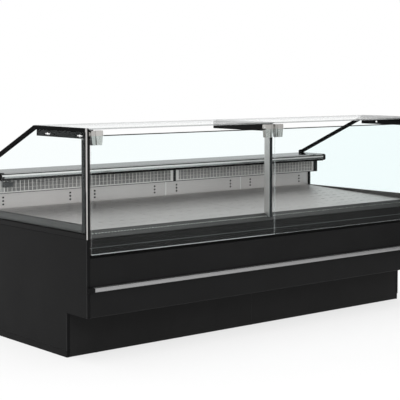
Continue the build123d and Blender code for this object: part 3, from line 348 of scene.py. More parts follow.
@dataclass(frozen=True)
class Glass(Finish):
    """Clear float glass with polished edges, faintly smeared where it is handled, and where asked a painted
    highlight along its foot.
    """

    face: Axis
    tint: Colour = (0.967, 0.997, 0.997)
    edge: Colour = (0.78, 0.81, 0.81)
    edge_share: float = 0.45
    # Height below which the pale edge shader is mixed in as a painted highlight, and how much of it.
    highlight_below: float = 0.0
    foot_highlight_share: float = 0.0
    head_on: float = 0.0015
    grazing: float = 0.5
    shine_colour: Colour = (0.98, 1.0, 1.0)
    smear_scale: Point = (7.0, 7.0, 3.0)
    smear_most: float = 0.0015
    smear_haze: float = 16.0
    polish: float = 0.02
    edge_scale: float = 300.0
    edge_gloss_range: tuple[float, float] = (0.12, 0.3)

    def shade(self, graph: Graph) -> Value:
        """Builds the glass shader."""
        smear = graph.spread(graph.noise(self.smear_scale, detail=5.0), (0.52, 0.8), (0.0, self.smear_most))
        slant = graph.node("ShaderNodeLayerWeight", inputs={"Blend": 0.5}, output="Facing")
        shine = self.head_on + self.grazing * slant ** 5.0 + smear
        clear = graph.node("ShaderNodeBsdfTransparent", inputs={"Color": self.tint})
        gloss = graph.principled(
            Base_Color=self.shine_colour, Metallic=1.0, Roughness=smear * self.smear_haze + self.polish)
        edge_haze = graph.noise([self.edge_scale] * 3, detail=2.0)
        edge = graph.principled(
            Base_Color=self.edge, Roughness=graph.spread(edge_haze, (0.3, 0.7), self.edge_gloss_range),
            Transmission_Weight=0.3, Specular_IOR_Level=0.6)
        on_edge = graph.spread(graph.normal(self.face), (0.3, 0.9), (self.edge_share, 0.0))
        # Painted highlight: the pale edge shader along the foot of the pane stands in for the glint on its bottom
        # edge.
        if self.highlight_below:
            heights = (self.highlight_below - MM, self.highlight_below)
            foot = graph.spread(graph.height(), heights, (self.foot_highlight_share, 0.0))
            on_edge = on_edge.larger(foot)
        return graph.shader_mix(on_edge, graph.shader_mix(shine, clear, gloss), edge)


@dataclass(frozen=True)
class DimSide:
    """The front right of the studio, which mirrors darker in metal and glass than the rest."""

    start: float = 0.62
    end: float = 0.78
    front: float = 0.25
    level: float = 0.12

    def tone(self, graph: Graph, outward: Value) -> Value:
        """Adds the light that a ray finds in a direction.

        Args:
            graph: The node tree of the floor or the surround.
            outward: Direction from the object.

        Returns:
            One for rays of the camera, and down to the level for others.
        """
        dim = graph.spread(graph.component(outward, Axis.X), (self.start, self.end), (0.0, 1.0 - self.level))
        dim = dim * graph.spread(graph.component(outward, Axis.Y), (-self.front, 0.0), (1.0, 0.0))
        camera = graph.node("ShaderNodeLightPath", output="Is Camera Ray")
        return 1.0 - (1.0 - camera) * dim


@dataclass(frozen=True)
class FloorPaint(Finish):
    """Pale studio floor that keeps a soft shadow and fades into the white surround."""

    colour: Colour = (0.8, 0.8, 0.8)
    shadow_share: float = 0.3
    near: float = 1.9
    far: float = 4.5
    cover_centre: Sequence[float] = (0.0, 0.1)
    cover_half: Sequence[float] = (1.27, 0.44)
    cover_blur: float = 0.02

    def under_cover(self, graph: Graph) -> Value:
        """One on the floor under the counter, where no light gets in, else zero."""
        cover = 1.0
        for axis, centre, half in zip((Axis.X, Axis.Y), self.cover_centre, self.cover_half):
            away = abs(graph.component(graph.place(), axis) - centre)
            cover = cover * graph.spread(away, (half - self.cover_blur, half), (1.0, 0.0))
        return cover

    def shade(self, graph: Graph) -> Value:
        """Builds the floor's shader."""
        plain = graph.node("ShaderNodeBsdfDiffuse", inputs={"Color": self.colour})
        shadowed = graph.node("ShaderNodeBsdfDiffuse", inputs={"Color": (self.shadow_share,) * 3})
        lift = (1.0 - self.under_cover(graph)) * (1.0 - self.shadow_share)
        glow = graph.node("ShaderNodeEmission", inputs={"Color": lift})
        outward = graph.node("ShaderNodeVectorMath", {"operation": "NORMALIZE"}, {0: graph.place()})
        white = graph.node("ShaderNodeEmission", inputs={"Color": DimSide().tone(graph, outward)})
        near = graph.node("ShaderNodeAddShader", inputs={0: shadowed, 1: glow})
        reach = graph.node("ShaderNodeVectorMath", {"operation": "LENGTH"}, {0: graph.place()}, output="Value")
        faded = graph.shader_mix(graph.spread(reach, (self.near, self.far), (0.0, 1.0)), near, white)
        return graph.shader_mix(graph.seen_directly(), plain, faded)


BLACK_PANEL = Coating("black_laminate", "black_panel", (0.0045, 0.0045, 0.0047), 0.42, 0.07, 0.9 * MM, 0.02 * MM)
BLACK_SHEET = Coating("black_powder_coat", "black_sheet", (0.0075, 0.0075, 0.0077), 0.4, 0.1, dust=0.02)
# A lighter copy of the black sheet for the fascia behind the pane: painted light.
FASCIA_SHEET_PAINTED_LIGHT = Coating("black_fascia_sheet_painted_light", "black_sheet", (0.0165, 0.0145, 0.0142), 0.4, 0.08, dust=0.02)
# A lighter copy of the black sheet for the plinth, painted light that offsets the shade under the overhang.
PLINTH_SHEET_PAINTED_LIGHT = Coating("black_plinth_sheet_painted_light", "black_sheet", (0.0135, 0.0134, 0.0135), 0.42, 0.08, dust=0.02)
BLACK_TRIM = Coating("black_moulding", "black_trim", (0.0042, 0.0042, 0.0044), 0.48, 0.08, 0.7 * MM, 0.04 * MM)
BLACK_METAL = Coating("black_enamelled_bar", "black_metal", (0.0035, 0.0035, 0.0037),
                      0.36, 0.08, 1.0 * MM, 0.015 * MM)
RAIL_METAL = Coating("black_anodised_rail", "black_metal", (0.002, 0.002, 0.0021), 0.5, 0.03, 1.0 * MM, 0.015 * MM)
# Also used for thin strips of painted highlight on edges and joints, and for the middle post's dark front face.
GREY_METAL = Coating("dark_grey_enamelled_bar", "black_metal", (0.02, 0.02, 0.0205), 0.4, 0.12, 1.0 * MM, 0.015 * MM)
BRACKET_METAL = Coating("black_bracket_plate", "black_metal", (0.0045, 0.0045, 0.0047),
                        0.42, 0.05, 1.0 * MM, 0.015 * MM)
# Also used for black strips of painted shade: in the front shadow gap, under the worktop nose and over the nose's
# upper curve.
RUBBER = Coating("black_rubber", "black_trim", (0.003, 0.003, 0.003), 0.62, 0.05, 0.5 * MM, 0.05 * MM)
LINER = Coating("grey_liner", "insulation", (0.42, 0.42, 0.425), 0.5, 0.3, 1.5 * MM)
GREY_PLASTIC = Coating("grey_plastic", "plastic_grey", (0.14, 0.14, 0.145), 0.5, 0.3, 0.8 * MM, 0.03 * MM)
GLOSS_PLASTIC = Coating("black_gloss_plastic", "plastic_black", (0.008, 0.008, 0.0085),
                        0.25, 0.3, 2.0 * MM, 0.01 * MM)
THERMOMETER_CASE = Coating("grey_thermometer_case", "plastic_black", (0.075, 0.073, 0.072),
                           0.4, 0.2, 0.8 * MM, 0.02 * MM)
SMOKED_WINDOW = Coating("smoked_window", "plastic_black", (0.03, 0.03, 0.032), 0.2, 0.3, 2.0 * MM, 0.005 * MM)
GREEN_PLASTIC = Coating("green_switch_plastic", "switch_green", (0.02, 0.24, 0.06), 0.28, 0.45, 2.0 * MM, 0.01 * MM)
WHITE_MARK = Coating("white_marking", "plastic_grey", (0.7, 0.7, 0.7), 0.5, 0.3, 0.4 * MM, 0.01 * MM)
CASTING = Coating("grey_motor_casting", "motor", (0.075, 0.075, 0.08), 0.55, 0.4, 1.6 * MM, 0.12 * MM)
# The worktop's nose, below its top face, is darkened as painted shade.
WORKTOP_STEEL = Metal("brushed_worktop_steel", "stainless", (0.7, 0.692, 0.686), 0.1,
                      edge_tint=0.3, painted_shade_below=904.6 * MM, dark_share=0.55)
WALL_STEEL = Metal("satin_wall_steel", "stainless", (0.7, 0.642, 0.632), 0.36, contrast=0.06)
DECK_STEEL = Metal("deck_steel", "stainless", (0.7, 0.664, 0.652), 0.4, Axis.Y, contrast=0.1)
LEDGE_STEEL = Metal("dark_ledge_steel", "stainless", (0.125, 0.121, 0.119), 0.4, contrast=0.06, edge_tint=0.3)
GRILLE_STEEL = Metal("grille_steel", "stainless", (0.71, 0.662, 0.645), 0.36, Axis.Z, 30 * MM)
ANODISED = Metal("anodised_aluminium", "anodised", (0.37, 0.37, 0.372), 0.42, Axis.X, 400 * MM, contrast=0.04)
ANODISED_UPRIGHT = Metal("anodised_upright", "anodised", (0.54, 0.528, 0.52), 0.34, Axis.Z, 400 * MM, contrast=0.05)
# Also gives the ledge's slot lips their painted highlight.
BRIGHT = Metal("satin_bright_metal", "bright_trim", (0.575, 0.562, 0.54), 0.27, Axis.Z, 20 * MM, contrast=0.05)
HINGE_METAL = Metal("cast_hinge_metal", "bright_trim", (0.52, 0.508, 0.488), 0.33, Axis.Z, 20 * MM, contrast=0.08)
STRAIGHTENER = Coating("grey_straightener", "plastic_grey", (0.33, 0.315, 0.31), 0.55, 0.2, 0.8 * MM, 0.03 * MM)
# Grey copy of the black trim, lightened as painted highlight for the fascia's seam bead.
GREY_BEAD = Coating("grey_bead", "black_trim", (0.1, 0.1, 0.1), 0.45, 0.2, 0.8 * MM, 0.03 * MM)
# Bright steel for the worktop nose's band of painted highlight and for the wall's joint strips.
NOSE_STEEL = Metal("bright_nose_steel", "stainless", (0.93, 0.892, 0.876), 0.32, Axis.X, contrast=0.05)
POLISHED = Metal("polished_bolt_steel", "bright_trim", (0.8, 0.8, 0.8), 0.1, Axis.Z, 8 * MM, contrast=0.04)
COPPER = Metal("drawn_copper", "copper", (0.6, 0.27, 0.15), 0.32, Axis.X, 90 * MM, contrast=0.2)
FIN_METAL = Metal("fin_aluminium", "fin", (0.62, 0.63, 0.64), 0.35, Axis.Z, 50 * MM)
ZINC = Galvanised("galvanised_steel", "galvanised", (0.42, 0.43, 0.44))
# The left pane's foot gets a stronger painted highlight than the right pane's.
LEFT_PANE = Glass("left_pane_glass", "glass", Axis.Y, edge_share=0.26, highlight_below=551 * MM, foot_highlight_share=0.5)
RIGHT_PANE = Glass("right_pane_glass", "glass", Axis.Y, edge_share=0.26, highlight_below=551 * MM, foot_highlight_share=0.12)
END_GLASS = Glass("end_glass", "glass", Axis.X, tint=(0.977, 0.998, 0.998), edge_share=0.08)
TOP_GLASS = Glass("top_glass_sheet", "glass", Axis.Z, tint=(0.985, 0.99, 0.99), edge=(0.3, 0.31, 0.31),
                  edge_share=0.7)


class Shape:
    """A mesh under construction, in metres, in the part's own frame."""

    def __init__(self) -> None:
        """Starts with nothing."""
        self.mesh = bmesh.new()

    @classmethod
    def copy_of(cls, node: str) -> "Shape":
        """A CAD node's mesh with its loose triangles merged."""
        shape = cls()
        shape.mesh.from_mesh(frame["nodes"][node].data)
        bmesh.ops.remove_doubles(shape.mesh, verts=shape.mesh.verts, dist=MERGE_DISTANCE)
        return shape

    def flatten(self) -> "Shape":
        """Joins the triangles of flat faces."""
        bmesh.ops.dissolve_limit(self.mesh, angle_limit=FLAT_ANGLE, verts=self.mesh.verts, edges=self.mesh.edges)
        return self

    def round_edges(self, edges: Iterable[bmesh.types.BMEdge], radius: float, segments: int = 2) -> None:
        """Rounds edges.

        Args:
            edges: The edges to round.
            radius: How far the round reaches from each edge.
            segments: Steps across the round.
        """
        bmesh.ops.bevel(self.mesh, geom=list(edges), offset=radius, offset_type="OFFSET", segments=segments,
                        profile=0.5, affect="EDGES", clamp_overlap=True, material=-1)

    def soften(self, radius: float) -> "Shape":
        """Rounds every outward sharp edge."""
        sharp = [edge for edge in self.mesh.edges
                 if edge.is_manifold and edge.calc_face_angle_signed(0.0) > EDGE_ANGLE]
        self.round_edges(sharp, radius)
        return self

    def block(self, low: Sequence[float], high: Sequence[float], radius: float = 0.0) -> "Shape":
        """Adds a block.

        Args:
            low: Its lowest corner.
            high: Its highest corner.
            radius: Rounding of its edges.

        Returns:
            The shape itself.
        """
        low, high = Vector(low), Vector(high)
        place = Matrix.Translation((low + high) / 2) @ Matrix.Diagonal((*(high - low), 1.0))
        corners = bmesh.ops.create_cube(self.mesh, size=1.0, matrix=place)["verts"]
        if radius:
            self.round_edges({edge for corner in corners for edge in corner.link_edges}, radius)
        return self

    def pair(self, low: Sequence[float], high: Sequence[float], radius: float = 0.0) -> "Shape":
        """Adds a block on the right and its mirror image on the left.

        Args:
            low: The lowest corner of the block on the right.
            high: Its highest corner.
            radius: Rounding of the edges.

        Returns:
            The shape itself.
        """
        for side in SIDES:
            ends = sorted((side * low[0], side * high[0]))
            self.block((ends[0], low[1], low[2]), (ends[1], high[1], high[2]), radius)
        return self

    def rod(self, start: Vector, end: Vector, radius: float, sides: int = 12) -> "Shape":
        """Adds a round rod between two points."""
        along = end - start
        turn = along.to_track_quat("Z", "Y").to_matrix().to_4x4()
        bmesh.ops.create_cone(
            self.mesh, cap_ends=True, segments=sides, radius1=radius, radius2=radius,
            depth=along.length, matrix=Matrix.Translation((start + end) / 2) @ turn)
        return self

    def turned(self, outline: Sequence[tuple], centre: Vector, axis: Vector, steps: int = 18) -> "Shape":
        """Adds a solid of revolution.

        Args:
            outline: Radius and height of each point, from the axis round to the axis.
            centre: Where the axis starts.
            axis: Direction of the axis.
            steps: Facets round the axis.

        Returns:
            The shape itself.
        """
        turn = axis.to_track_quat("Z", "Y").to_matrix()
        points = [self.mesh.verts.new(centre + turn @ Vector((radius, 0, height))) for radius, height in outline]
        edges = [self.mesh.edges.new(pair) for pair in zip(points, points[1:])]
        bmesh.ops.spin(self.mesh, geom=[*points, *edges], cent=centre, axis=axis, angle=2 * pi, steps=steps,
                       use_merge=True, dvec=(0, 0, 0))
        bmesh.ops.remove_doubles(self.mesh, verts=self.mesh.verts, dist=MERGE_DISTANCE)
        return self

    def screw_head(self, centre: Vector, axis: Vector, radius: float, height: float) -> "Shape":
        """Adds a domed screw head with a round socket."""
        socket = radius * 0.42
        outline = ((0, height * 0.45), (socket, height * 0.45), (socket, height), (radius * 0.62, height * 0.97),
                   (radius * 0.88, height * 0.7), (radius, height * 0.25), (radius, 0), (0, 0))
        return self.turned(outline, centre, axis)

    def prism(self, corners: Sequence[Vector], along: Vector, radius: float = 0.0) -> "Shape":
        """Adds a flat outline drawn out along a line.

        Args:
            corners: The outline's corners in order.
            along: How far and which way it is drawn out.
            radius: Rounding of its edges.

        Returns:
            The shape itself.
        """
        start = self.mesh.faces.new([self.mesh.verts.new(corner) for corner in corners])
        grown = bmesh.ops.extrude_face_region(self.mesh, geom=[start])["geom"]
        moved = [part for part in grown if isinstance(part, bmesh.types.BMVert)]
        bmesh.ops.translate(self.mesh, verts=moved, vec=along)
        if radius:
            rims = {edge for part in (*start.verts, *moved) for edge in part.link_edges}
            self.round_edges(rims, radius)
        return self

    def curved_strip(self, centre: Vector, radii: tuple, sweep: tuple, length: float) -> "Shape":
        """Adds a strip bent round a line along X.

        Args:
            centre: Start of the line that it is bent round.
            radii: Its inner and outer radius.
            sweep: Where it starts and ends, as angles from the front face upwards.
            length: How far it runs along X.

        Returns:
            The shape itself.
        """
        axis = Axis.X.vector
        start = Matrix.Rotation(-sweep[0], 3, axis) @ Vector((0, -1, 0))
        ends = [self.mesh.verts.new(centre + start * radius) for radius in radii]
        rim = self.mesh.edges.new(ends)
        bmesh.ops.spin(self.mesh, geom=[*ends, rim], cent=centre, axis=axis, angle=sweep[0] - sweep[1], steps=8,
                       use_merge=False, dvec=(0, 0, 0))
        grown = bmesh.ops.extrude_face_region(self.mesh, geom=list(self.mesh.faces))["geom"]
        moved = [part for part in grown if isinstance(part, bmesh.types.BMVert)]
        bmesh.ops.translate(self.mesh, verts=moved, vec=axis * length)
        return self

    def piece(self, name: str, finish: Finish, body: str = CABINET, stands_for: str = "") -> bpy.types.Object:
        """Closes the shape and makes it a piece of the object.

        Args:
            name: The piece's name.
            finish: Its finish.
            body: The body that it rides on.
            stands_for: The CAD node that it replaces, if any.

        Returns:
            The new object.
        """
        bmesh.ops.recalc_face_normals(self.mesh, faces=self.mesh.faces)
        mesh = bpy.data.meshes.new(name)
        self.mesh.to_mesh(mesh)
        self.mesh.free()
        mesh.shade_smooth()
        mesh.set_sharp_from_angle(angle=SMOOTH_ANGLE)
        mesh.materials.append(finish.material())
        made = bpy.data.objects.new(name, mesh)
        bpy.context.scene.collection.objects.link(made)
        made.modifiers.new("even_shading", "WEIGHTED_NORMAL").keep_sharp = True
        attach(made, body)
        if stands_for:
            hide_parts(stands_for)
        log.info("%s: %d faces, rides on %s", name, len(mesh.polygons), body)
        return made


def spaced(count: int, gap: float) -> list[float]:
    """Places along a line, evenly spaced about its middle."""
    return [(index - (count - 1) / 2) * gap for index in range(count)]


def body_of(node: str) -> str:
    """The body that a CAD node belongs to."""
    return next(body for body, members in frame["record"]["behaviour"]["bodies"].items() if node in members)


def paint(finish: Finish, *nodes: str) -> None:
    """Gives CAD nodes a finish as they stand."""
    for node in nodes:
        materials = frame["nodes"][node].data.materials
        materials.clear()
        materials.append(finish.material())
        log.info("%s: finished as %s", node, finish.name)


def dress(finish: Finish, radius: float, *nodes: str) -> None:
    """Replaces CAD nodes by smooth copies with softened edges.

    Args:
        finish: Their finish.
        radius: Rounding of the sharp edges, zero to leave them.
        nodes: The nodes' names.
    """
    for node in nodes:
        shape = Shape.copy_of(node)
        if radius:
            shape.flatten().soften(radius)
        shape.piece(f"{node}_finished", finish, body_of(node), node)


@dataclass
class Cladding:
    """The black casing: end panels, front panels, plinth, fascia and bumper."""

    panel_edge: float = 0.9 * MM
    cap_edge: float = 1.5 * MM
    plinth_edge: float = 0.7 * MM
    bead_rise: float = 35.6 * MM
    bead_height: float = 2.6 * MM
    bead_proud: float = 0.7 * MM
    gap_setback: float = 4.0 * MM
    gap_depth: float = 6.0 * MM
    gap_overlap: float = 1.0 * MM
    band_width: float = 2.4 * MM
    band_proud: float = 0.3 * MM

    def build(self) -> None:
        """Dresses the casing and adds its thin trim, with painted highlights on the end panels' edges, the plinth
        joint and the fascia seam, and painted shade in the shadow gap.
        """
        dress(BLACK_PANEL, self.panel_edge, "end_panel_left", "end_panel_right")
        dress(BLACK_SHEET, 0.0, "lower_front_panel", "upper_front_panel")
        dress(FASCIA_SHEET_PAINTED_LIGHT, 0.0, "fascia")
        dress(PLINTH_SHEET_PAINTED_LIGHT, self.plinth_edge, "plinth_left", "plinth_right")
        dress(BLACK_TRIM, self.cap_edge, "end_feet", "bumper_caps")
        dress(ANODISED, 0.0, "bumper_rail")
        self.fascia_bead()
        self.gap_strip()
        self.painted_edge_highlights()
        self.plinth_joint()

    def plinth_joint(self) -> None:
        """Adds the thin cover strip over the joint between the plinth halves; its lighter grey paints the highlight
        of the joint's edges.
        """
        low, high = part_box("plinth_left")
        half = self.band_width / 2
        shape = Shape().block((-half, low.y - self.band_proud, low.z), (half, high.y, high.z), self.band_proud)
        shape.piece("plinth_joint_highlight_strip", GREY_METAL)

    def gap_strip(self) -> None:
        """Adds the black strip in the shadow gap between the upper front panel and the fascia, painted shade that
        hides the lit liner behind it.
        """
        low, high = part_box("upper_front_panel")
        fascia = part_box("fascia")[0]
        front = fascia.y + self.gap_setback
        shape = Shape().block((low.x, front, high.z - self.gap_overlap),
                              (high.x, front + self.gap_depth, fascia.z + self.gap_overlap))
        shape.piece("painted_shade_gap_strip", RUBBER)

    def painted_edge_highlights(self) -> None:
        """Adds thin grey bands down the front corners of the end panels and of their toe recesses, painted
        highlights on those edges.
        """
        low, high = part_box("end_panel_right")
        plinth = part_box("plinth_left")[1].z
        points = [vertex.co for vertex in frame["nodes"]["end_panel_right"].data.vertices]
        toe = min(point.y for point in points if point.z < plinth / 2)
        shape = Shape()
        for front, foot, head in ((low.y, plinth, high.z), (toe, low.z, plinth)):
            shape.pair((high.x - self.band_width, front - self.band_proud, foot),
                       (high.x + self.band_proud, front + self.band_width, head), self.band_proud)
        shape.piece("end_panel_painted_edge_highlights", GREY_METAL)

    def fascia_bead(self) -> None:
        """Adds the thin grey bead along the fascia's seam; its grey, lighter than the black trim, paints the seam's
        highlight.
        """
        low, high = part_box("fascia")
        middle, half = low.z + self.bead_rise, self.bead_height / 2
        shape = Shape().block((low.x, low.y - self.bead_proud, middle - half),
                              (high.x, low.y + self.bead_proud, middle + half), self.bead_proud / 2)
        shape.piece("fascia_seam_highlight_bead", GREY_BEAD)


@dataclass
class Glazing:
    """The glass case: end glass in its bars, the level top glass and the post that carries it."""

    glass_edge: float = 0.7 * MM
    pane_edge: float = 1.2 * MM
    bar_edge: float = 1.0 * MM
    gasket_width: float = 2.6 * MM
    gasket_rise: float = 3.0 * MM
    plate_size: Point = (1.6 * MM, 46.0 * MM, 6.0 * MM)
    plate_edge: float = 0.72 * MM
    bolt_radius: float = 8.0 * MM
    bolt_head: tuple[float, float] = (6.4 * MM, 2.6 * MM)
    nut_gap: float = 4.0 * MM
    nut_height: float = 3.5 * MM
    seal_width: float = 20.0 * MM
    seal_thickness: float = 2.0 * MM
    inlay_width: float = 7.5 * MM
    side_inlay_width: float = 5.0 * MM
    side_inlay_drop: float = 20.0 * MM
    inlay_proud: float = 0.3 * MM
    cover_width: float = 18.0 * MM
    cover_thickness: float = 5.0 * MM
    cover_inset: float = 0.2 * MM
    cover_lift: float = 2.0 * MM
    cover_drop: float = 1.0 * MM
    foot_inset: float = 16.0 * MM
    foot_reach: float = 11.0 * MM
    foot_outline: Outline = ((-24.0 * MM, 0.0), (-8.0 * MM, 2.0 * MM), (0.0, 21.0 * MM),
                             (14.0 * MM, 15.0 * MM), (14.0 * MM, 0.0))

    def build(self) -> None:
        """Dresses the glass and its bars and adds gaskets, bolt plates and trim."""
        dress(END_GLASS, self.glass_edge, "end_glass_left", "end_glass_right")
        dress(TOP_GLASS, self.glass_edge, "top_glass")
        dress(LEFT_PANE, self.pane_edge, "front_pane_left")
        dress(RIGHT_PANE, self.pane_edge, "front_pane_right")
        dress(BLACK_METAL, self.bar_edge, "glass_channels", "middle_arm")
        dress(RAIL_METAL, self.bar_edge, "end_rails")
        dress(GREY_METAL, self.bar_edge, "end_posts")
        dress(BRACKET_METAL, 0.0, "top_brackets")
        dress(ANODISED_UPRIGHT, 0.0, "corner_profiles", "middle_post")
        self.gaskets()
        self.bolt_plates()
        self.post_seal()
        self.corner_inlays()
        self.post_covers()
        self.rail_feet()

    def gaskets(self) -> None:
        """Adds the rubber strips that grip the end glass in its channels."""
        channel_low, channel_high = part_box("glass_channels")
        low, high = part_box("end_glass_right")
        shape = Shape()
        for start in (low.x - self.gasket_width, high.x):
            shape.pair((start, channel_low.y, channel_high.z),
                       (start + self.gasket_width, channel_high.y, channel_high.z + self.gasket_rise),
                       self.gasket_width / 4)
        shape.piece("channel_gaskets", RUBBER)

    def bolt_plates(self) -> None:
        """Replaces the bracket bolts by polished domed heads on oblong plates, with their nuts inside."""
        low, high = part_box("bracket_bolts")
        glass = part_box("end_glass_right")[1].x
        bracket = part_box("top_brackets")[1].x
        height = (low.z + high.z) / 2
        thickness, length, width = self.plate_size
        half = Vector((0, length / 2, width / 2))
        shape = Shape()
        for depth in (low.y + self.bolt_radius, high.y - self.bolt_radius):
            seat = Vector((glass, depth, height))
            shape.pair(seat - half, seat + half + Axis.X.vector * thickness, self.plate_edge)
            for side in SIDES:
                outward = Axis.X.vector * side
                face, plate, nut, inner = (Vector((side * x, depth, height)) for x in (
                    glass, glass + thickness, bracket - self.nut_gap, bracket))
                shape.screw_head(plate, outward, *self.bolt_head)
                shape.rod(inner, face, self.bolt_radius, 20)
                shape.screw_head(nut, -outward, self.bolt_radius, self.nut_height)
        shape.piece("bracket_bolt_plates", POLISHED, CABINET, "bracket_bolts")

    def post_seal(self) -> None:
        """Adds the dark seal on the middle post, behind the joint of the panes; its dark front face also paints the
        post front's dark reflection.
        """
        low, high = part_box("middle_post")
        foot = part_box("front_ledge")[1].z - self.seal_width
        half = self.seal_width / 2
        shape = Shape().block((-half, low.y - self.seal_thickness, foot),
                              (half, low.y, high.z - self.seal_width), self.seal_thickness / 3)
        shape.piece("middle_post_seal_painted_dark", GREY_METAL)

    def corner_inlays(self) -> None:
        """Adds the black inlays that leave only the corner of each corner profile bright."""
        low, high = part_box("corner_profiles")
        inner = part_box("end_glass_right")[0].x
        shape = Shape()
        shape.pair((inner, low.y - self.inlay_proud, low.z),
                   (inner + self.inlay_width, low.y + self.inlay_proud, high.z))
        shape.pair((high.x - self.inlay_proud, high.y - self.side_inlay_width, low.z),
                   (high.x + self.inlay_proud, high.y, high.z - self.side_inlay_drop))
        shape.piece("corner_profile_inlays", RUBBER)

    def rail_feet(self) -> None:
        """Adds the wedge feet that stand the sloping rails on the worktop caps."""
        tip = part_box("end_rails")[1].y
        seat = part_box("worktop")[1].z
        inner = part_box("end_glass_right")[0].x - self.foot_inset
        shape = Shape()
        for side in SIDES:
            corners = [Vector((side * inner, tip + depth, seat + rise)) for depth, rise in self.foot_outline]
            shape.prism(corners, Axis.X.vector * side * (self.foot_inset + self.foot_reach), self.bar_edge)
        shape.piece("rail_feet", BLACK_TRIM)

    def post_covers(self) -> None:
        """Adds the cover strips behind the end posts, against the inside of the end glass."""
        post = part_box("end_posts")[1]
        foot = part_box("glass_channels")[1].z + self.cover_lift
        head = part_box("top_brackets")[0].z - self.cover_drop
        shape = Shape().pair((post.x - self.cover_thickness, post.y, foot),
                             (post.x - self.cover_inset, post.y + self.cover_width, head), self.bar_edge)
        shape.piece("end_post_covers", GREY_METAL)


@dataclass
class PaneHinges:
    """The clamps that grip the panes, their fixed hinge blocks and pins."""

    clamp_edge: float = 2.0 * MM
    clamp_width: float = 45.0 * MM
    clamp_depth: float = 24.0 * MM
    screw_radius: float = 4.6 * MM
    screw_height: float = 2.6 * MM
    screw_spacing: float = 18.0 * MM
    screw_rise: float = 16.0 * MM
    seal_height: float = 4.0 * MM
    seal_overlap: float = 0.8 * MM
    seal_proud: float = 0.3 * MM
    seal_end_gap: float = 1.0 * MM

    def build(self) -> None:
        """Dresses the hinges and adds the clamp screws and the panes' top seals."""
        dress(BRIGHT, self.clamp_edge, "pane_clamps_left", "pane_clamps_right")
        dress(HINGE_METAL, self.clamp_edge, "hinge_blocks")
        dress(POLISHED, 0.0, "hinge_pins")
        for word in ("left", "right"):
            self.clamp_screws(word)
            self.top_seal(word)

    def clamp_screws(self, word: str) -> None:
        """Adds the screws in the backs of one pane's clamps."""
        low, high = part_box(f"pane_clamps_{word}")
        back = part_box(f"front_pane_{word}")[1].y + self.clamp_depth
        shape = Shape()
        for middle in (low.x + self.clamp_width / 2, high.x - self.clamp_width / 2):
            for side in SIDES:
                place = Vector((middle + side * self.screw_spacing / 2, back, low.z + self.screw_rise))
                shape.screw_head(place, Axis.Y.vector, self.screw_radius, self.screw_height)
        shape.piece(f"clamp_screws_{word}", POLISHED, f"front_pane_{word}")

    def top_seal(self, word: str) -> None:
        """Adds the black seal along one pane's top edge, between its clamps."""
        clamp_low, clamp_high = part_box(f"pane_clamps_{word}")
        low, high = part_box(f"front_pane_{word}")
        inset = self.clamp_width + self.seal_end_gap
        shape = Shape().block((clamp_low.x + inset, low.y - self.seal_proud, high.z - self.seal_overlap),
                              (clamp_high.x - inset, high.y + self.seal_proud, high.z + self.seal_height),
                              self.seal_proud)
        shape.piece(f"pane_top_seal_{word}", RUBBER, f"front_pane_{word}")


@dataclass
class Display:
    """The display well: ledge, deck, back wall and liners."""

    slope_depth: float = 56.0 * MM
    slope_rise: float = 31.0 * MM
    lip_spacing: float = 20.0 * MM
    lip_length: float = 10.0 * MM
    lip_width: float = 4.0 * MM
    lip_height: float = 2.6 * MM
    lip_sink: float = 0.6 * MM
    lip_offset: float = 2.6 * MM
    strip_width: float = 7.0 * MM
    strip_thickness: float = 1.4 * MM
    module: float = 625.0 * MM
    module_count: int = 4
    socket_edge_distance: float = 87.0 * MM
    socket_drop: float = 35.0 * MM
    socket_spacing: float = 19.5 * MM
    socket_rows: int = 3
    socket_size: Point = (12.0 * MM, 1.0 * MM, 9.0 * MM)

    def build(self) -> None:
        """Dresses the well and adds the slot lips, the wall's joint strips and its bracket sockets."""
        dress(LEDGE_STEEL, 0.0, "front_ledge")
        paint(DECK_STEEL, *[f"deck_plate_{number + 1}" for number in range(self.module_count)])
        paint(WALL_STEEL, "wall_panels")
        paint(ANODISED, "deck_bearers")
        paint(LINER, "tub_floor", "tub_walls")
        paint(LEDGE_STEEL, "tub_ends")
        self.slot_lips()
        self.wall_strips()
        self.wall_sockets()

    def slot_lips(self) -> None:
        """Adds the pressed lips above the ledge's air slots; their bright finish, lighter than the ledge they are
        pressed from, paints their highlight.
        """
        low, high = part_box("front_ledge")
        along = self.slope_depth / 2 + self.lip_offset
        depth = low.y + along
        height = high.z - self.slope_rise * (1 - along / self.slope_depth)
        count = int((high.x - low.x - 2 * self.lip_spacing) / self.lip_spacing)
        shape = Shape()
        for x in spaced(count, self.lip_spacing):
            shape.block((x - self.lip_length / 2, depth - self.lip_width / 2, height - self.lip_sink),
                        (x + self.lip_length / 2, depth + self.lip_width / 2, height + self.lip_height))
        shape.piece("ledge_slot_lip_highlights", BRIGHT)

    def wall_strips(self) -> None:
        """Adds the strips that cover the joints of the back wall panels."""
        low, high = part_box("wall_panels")
        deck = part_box("deck_plate_1")[1].z
        half = self.strip_width / 2
        shape = Shape()
        for x in spaced(self.module_count - 1, self.module):
            shape.block((x - half, low.y - self.strip_thickness, deck), (x + half, low.y, high.z),
                        self.strip_thickness / 3)
        shape.piece("wall_joint_strips", NOSE_STEEL)

    def wall_sockets(self) -> None:
        """Adds the black plastic sockets in the back wall's groups of slots."""
        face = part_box("wall_panels")[0].y
        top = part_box("grille_left")[0].z - self.socket_drop
        half = Vector(self.socket_size) / 2
        reach = self.module / 2 - self.socket_edge_distance
        shape = Shape()
        for panel in spaced(self.module_count, self.module):
            for x in (panel - reach, panel + reach):
                for row in range(self.socket_rows):
                    middle = Vector((x, face, top - row * self.socket_spacing))
                    shape.block(middle - half, middle + half, half.y / 2)
        shape.piece("wall_slot_sockets", RUBBER)


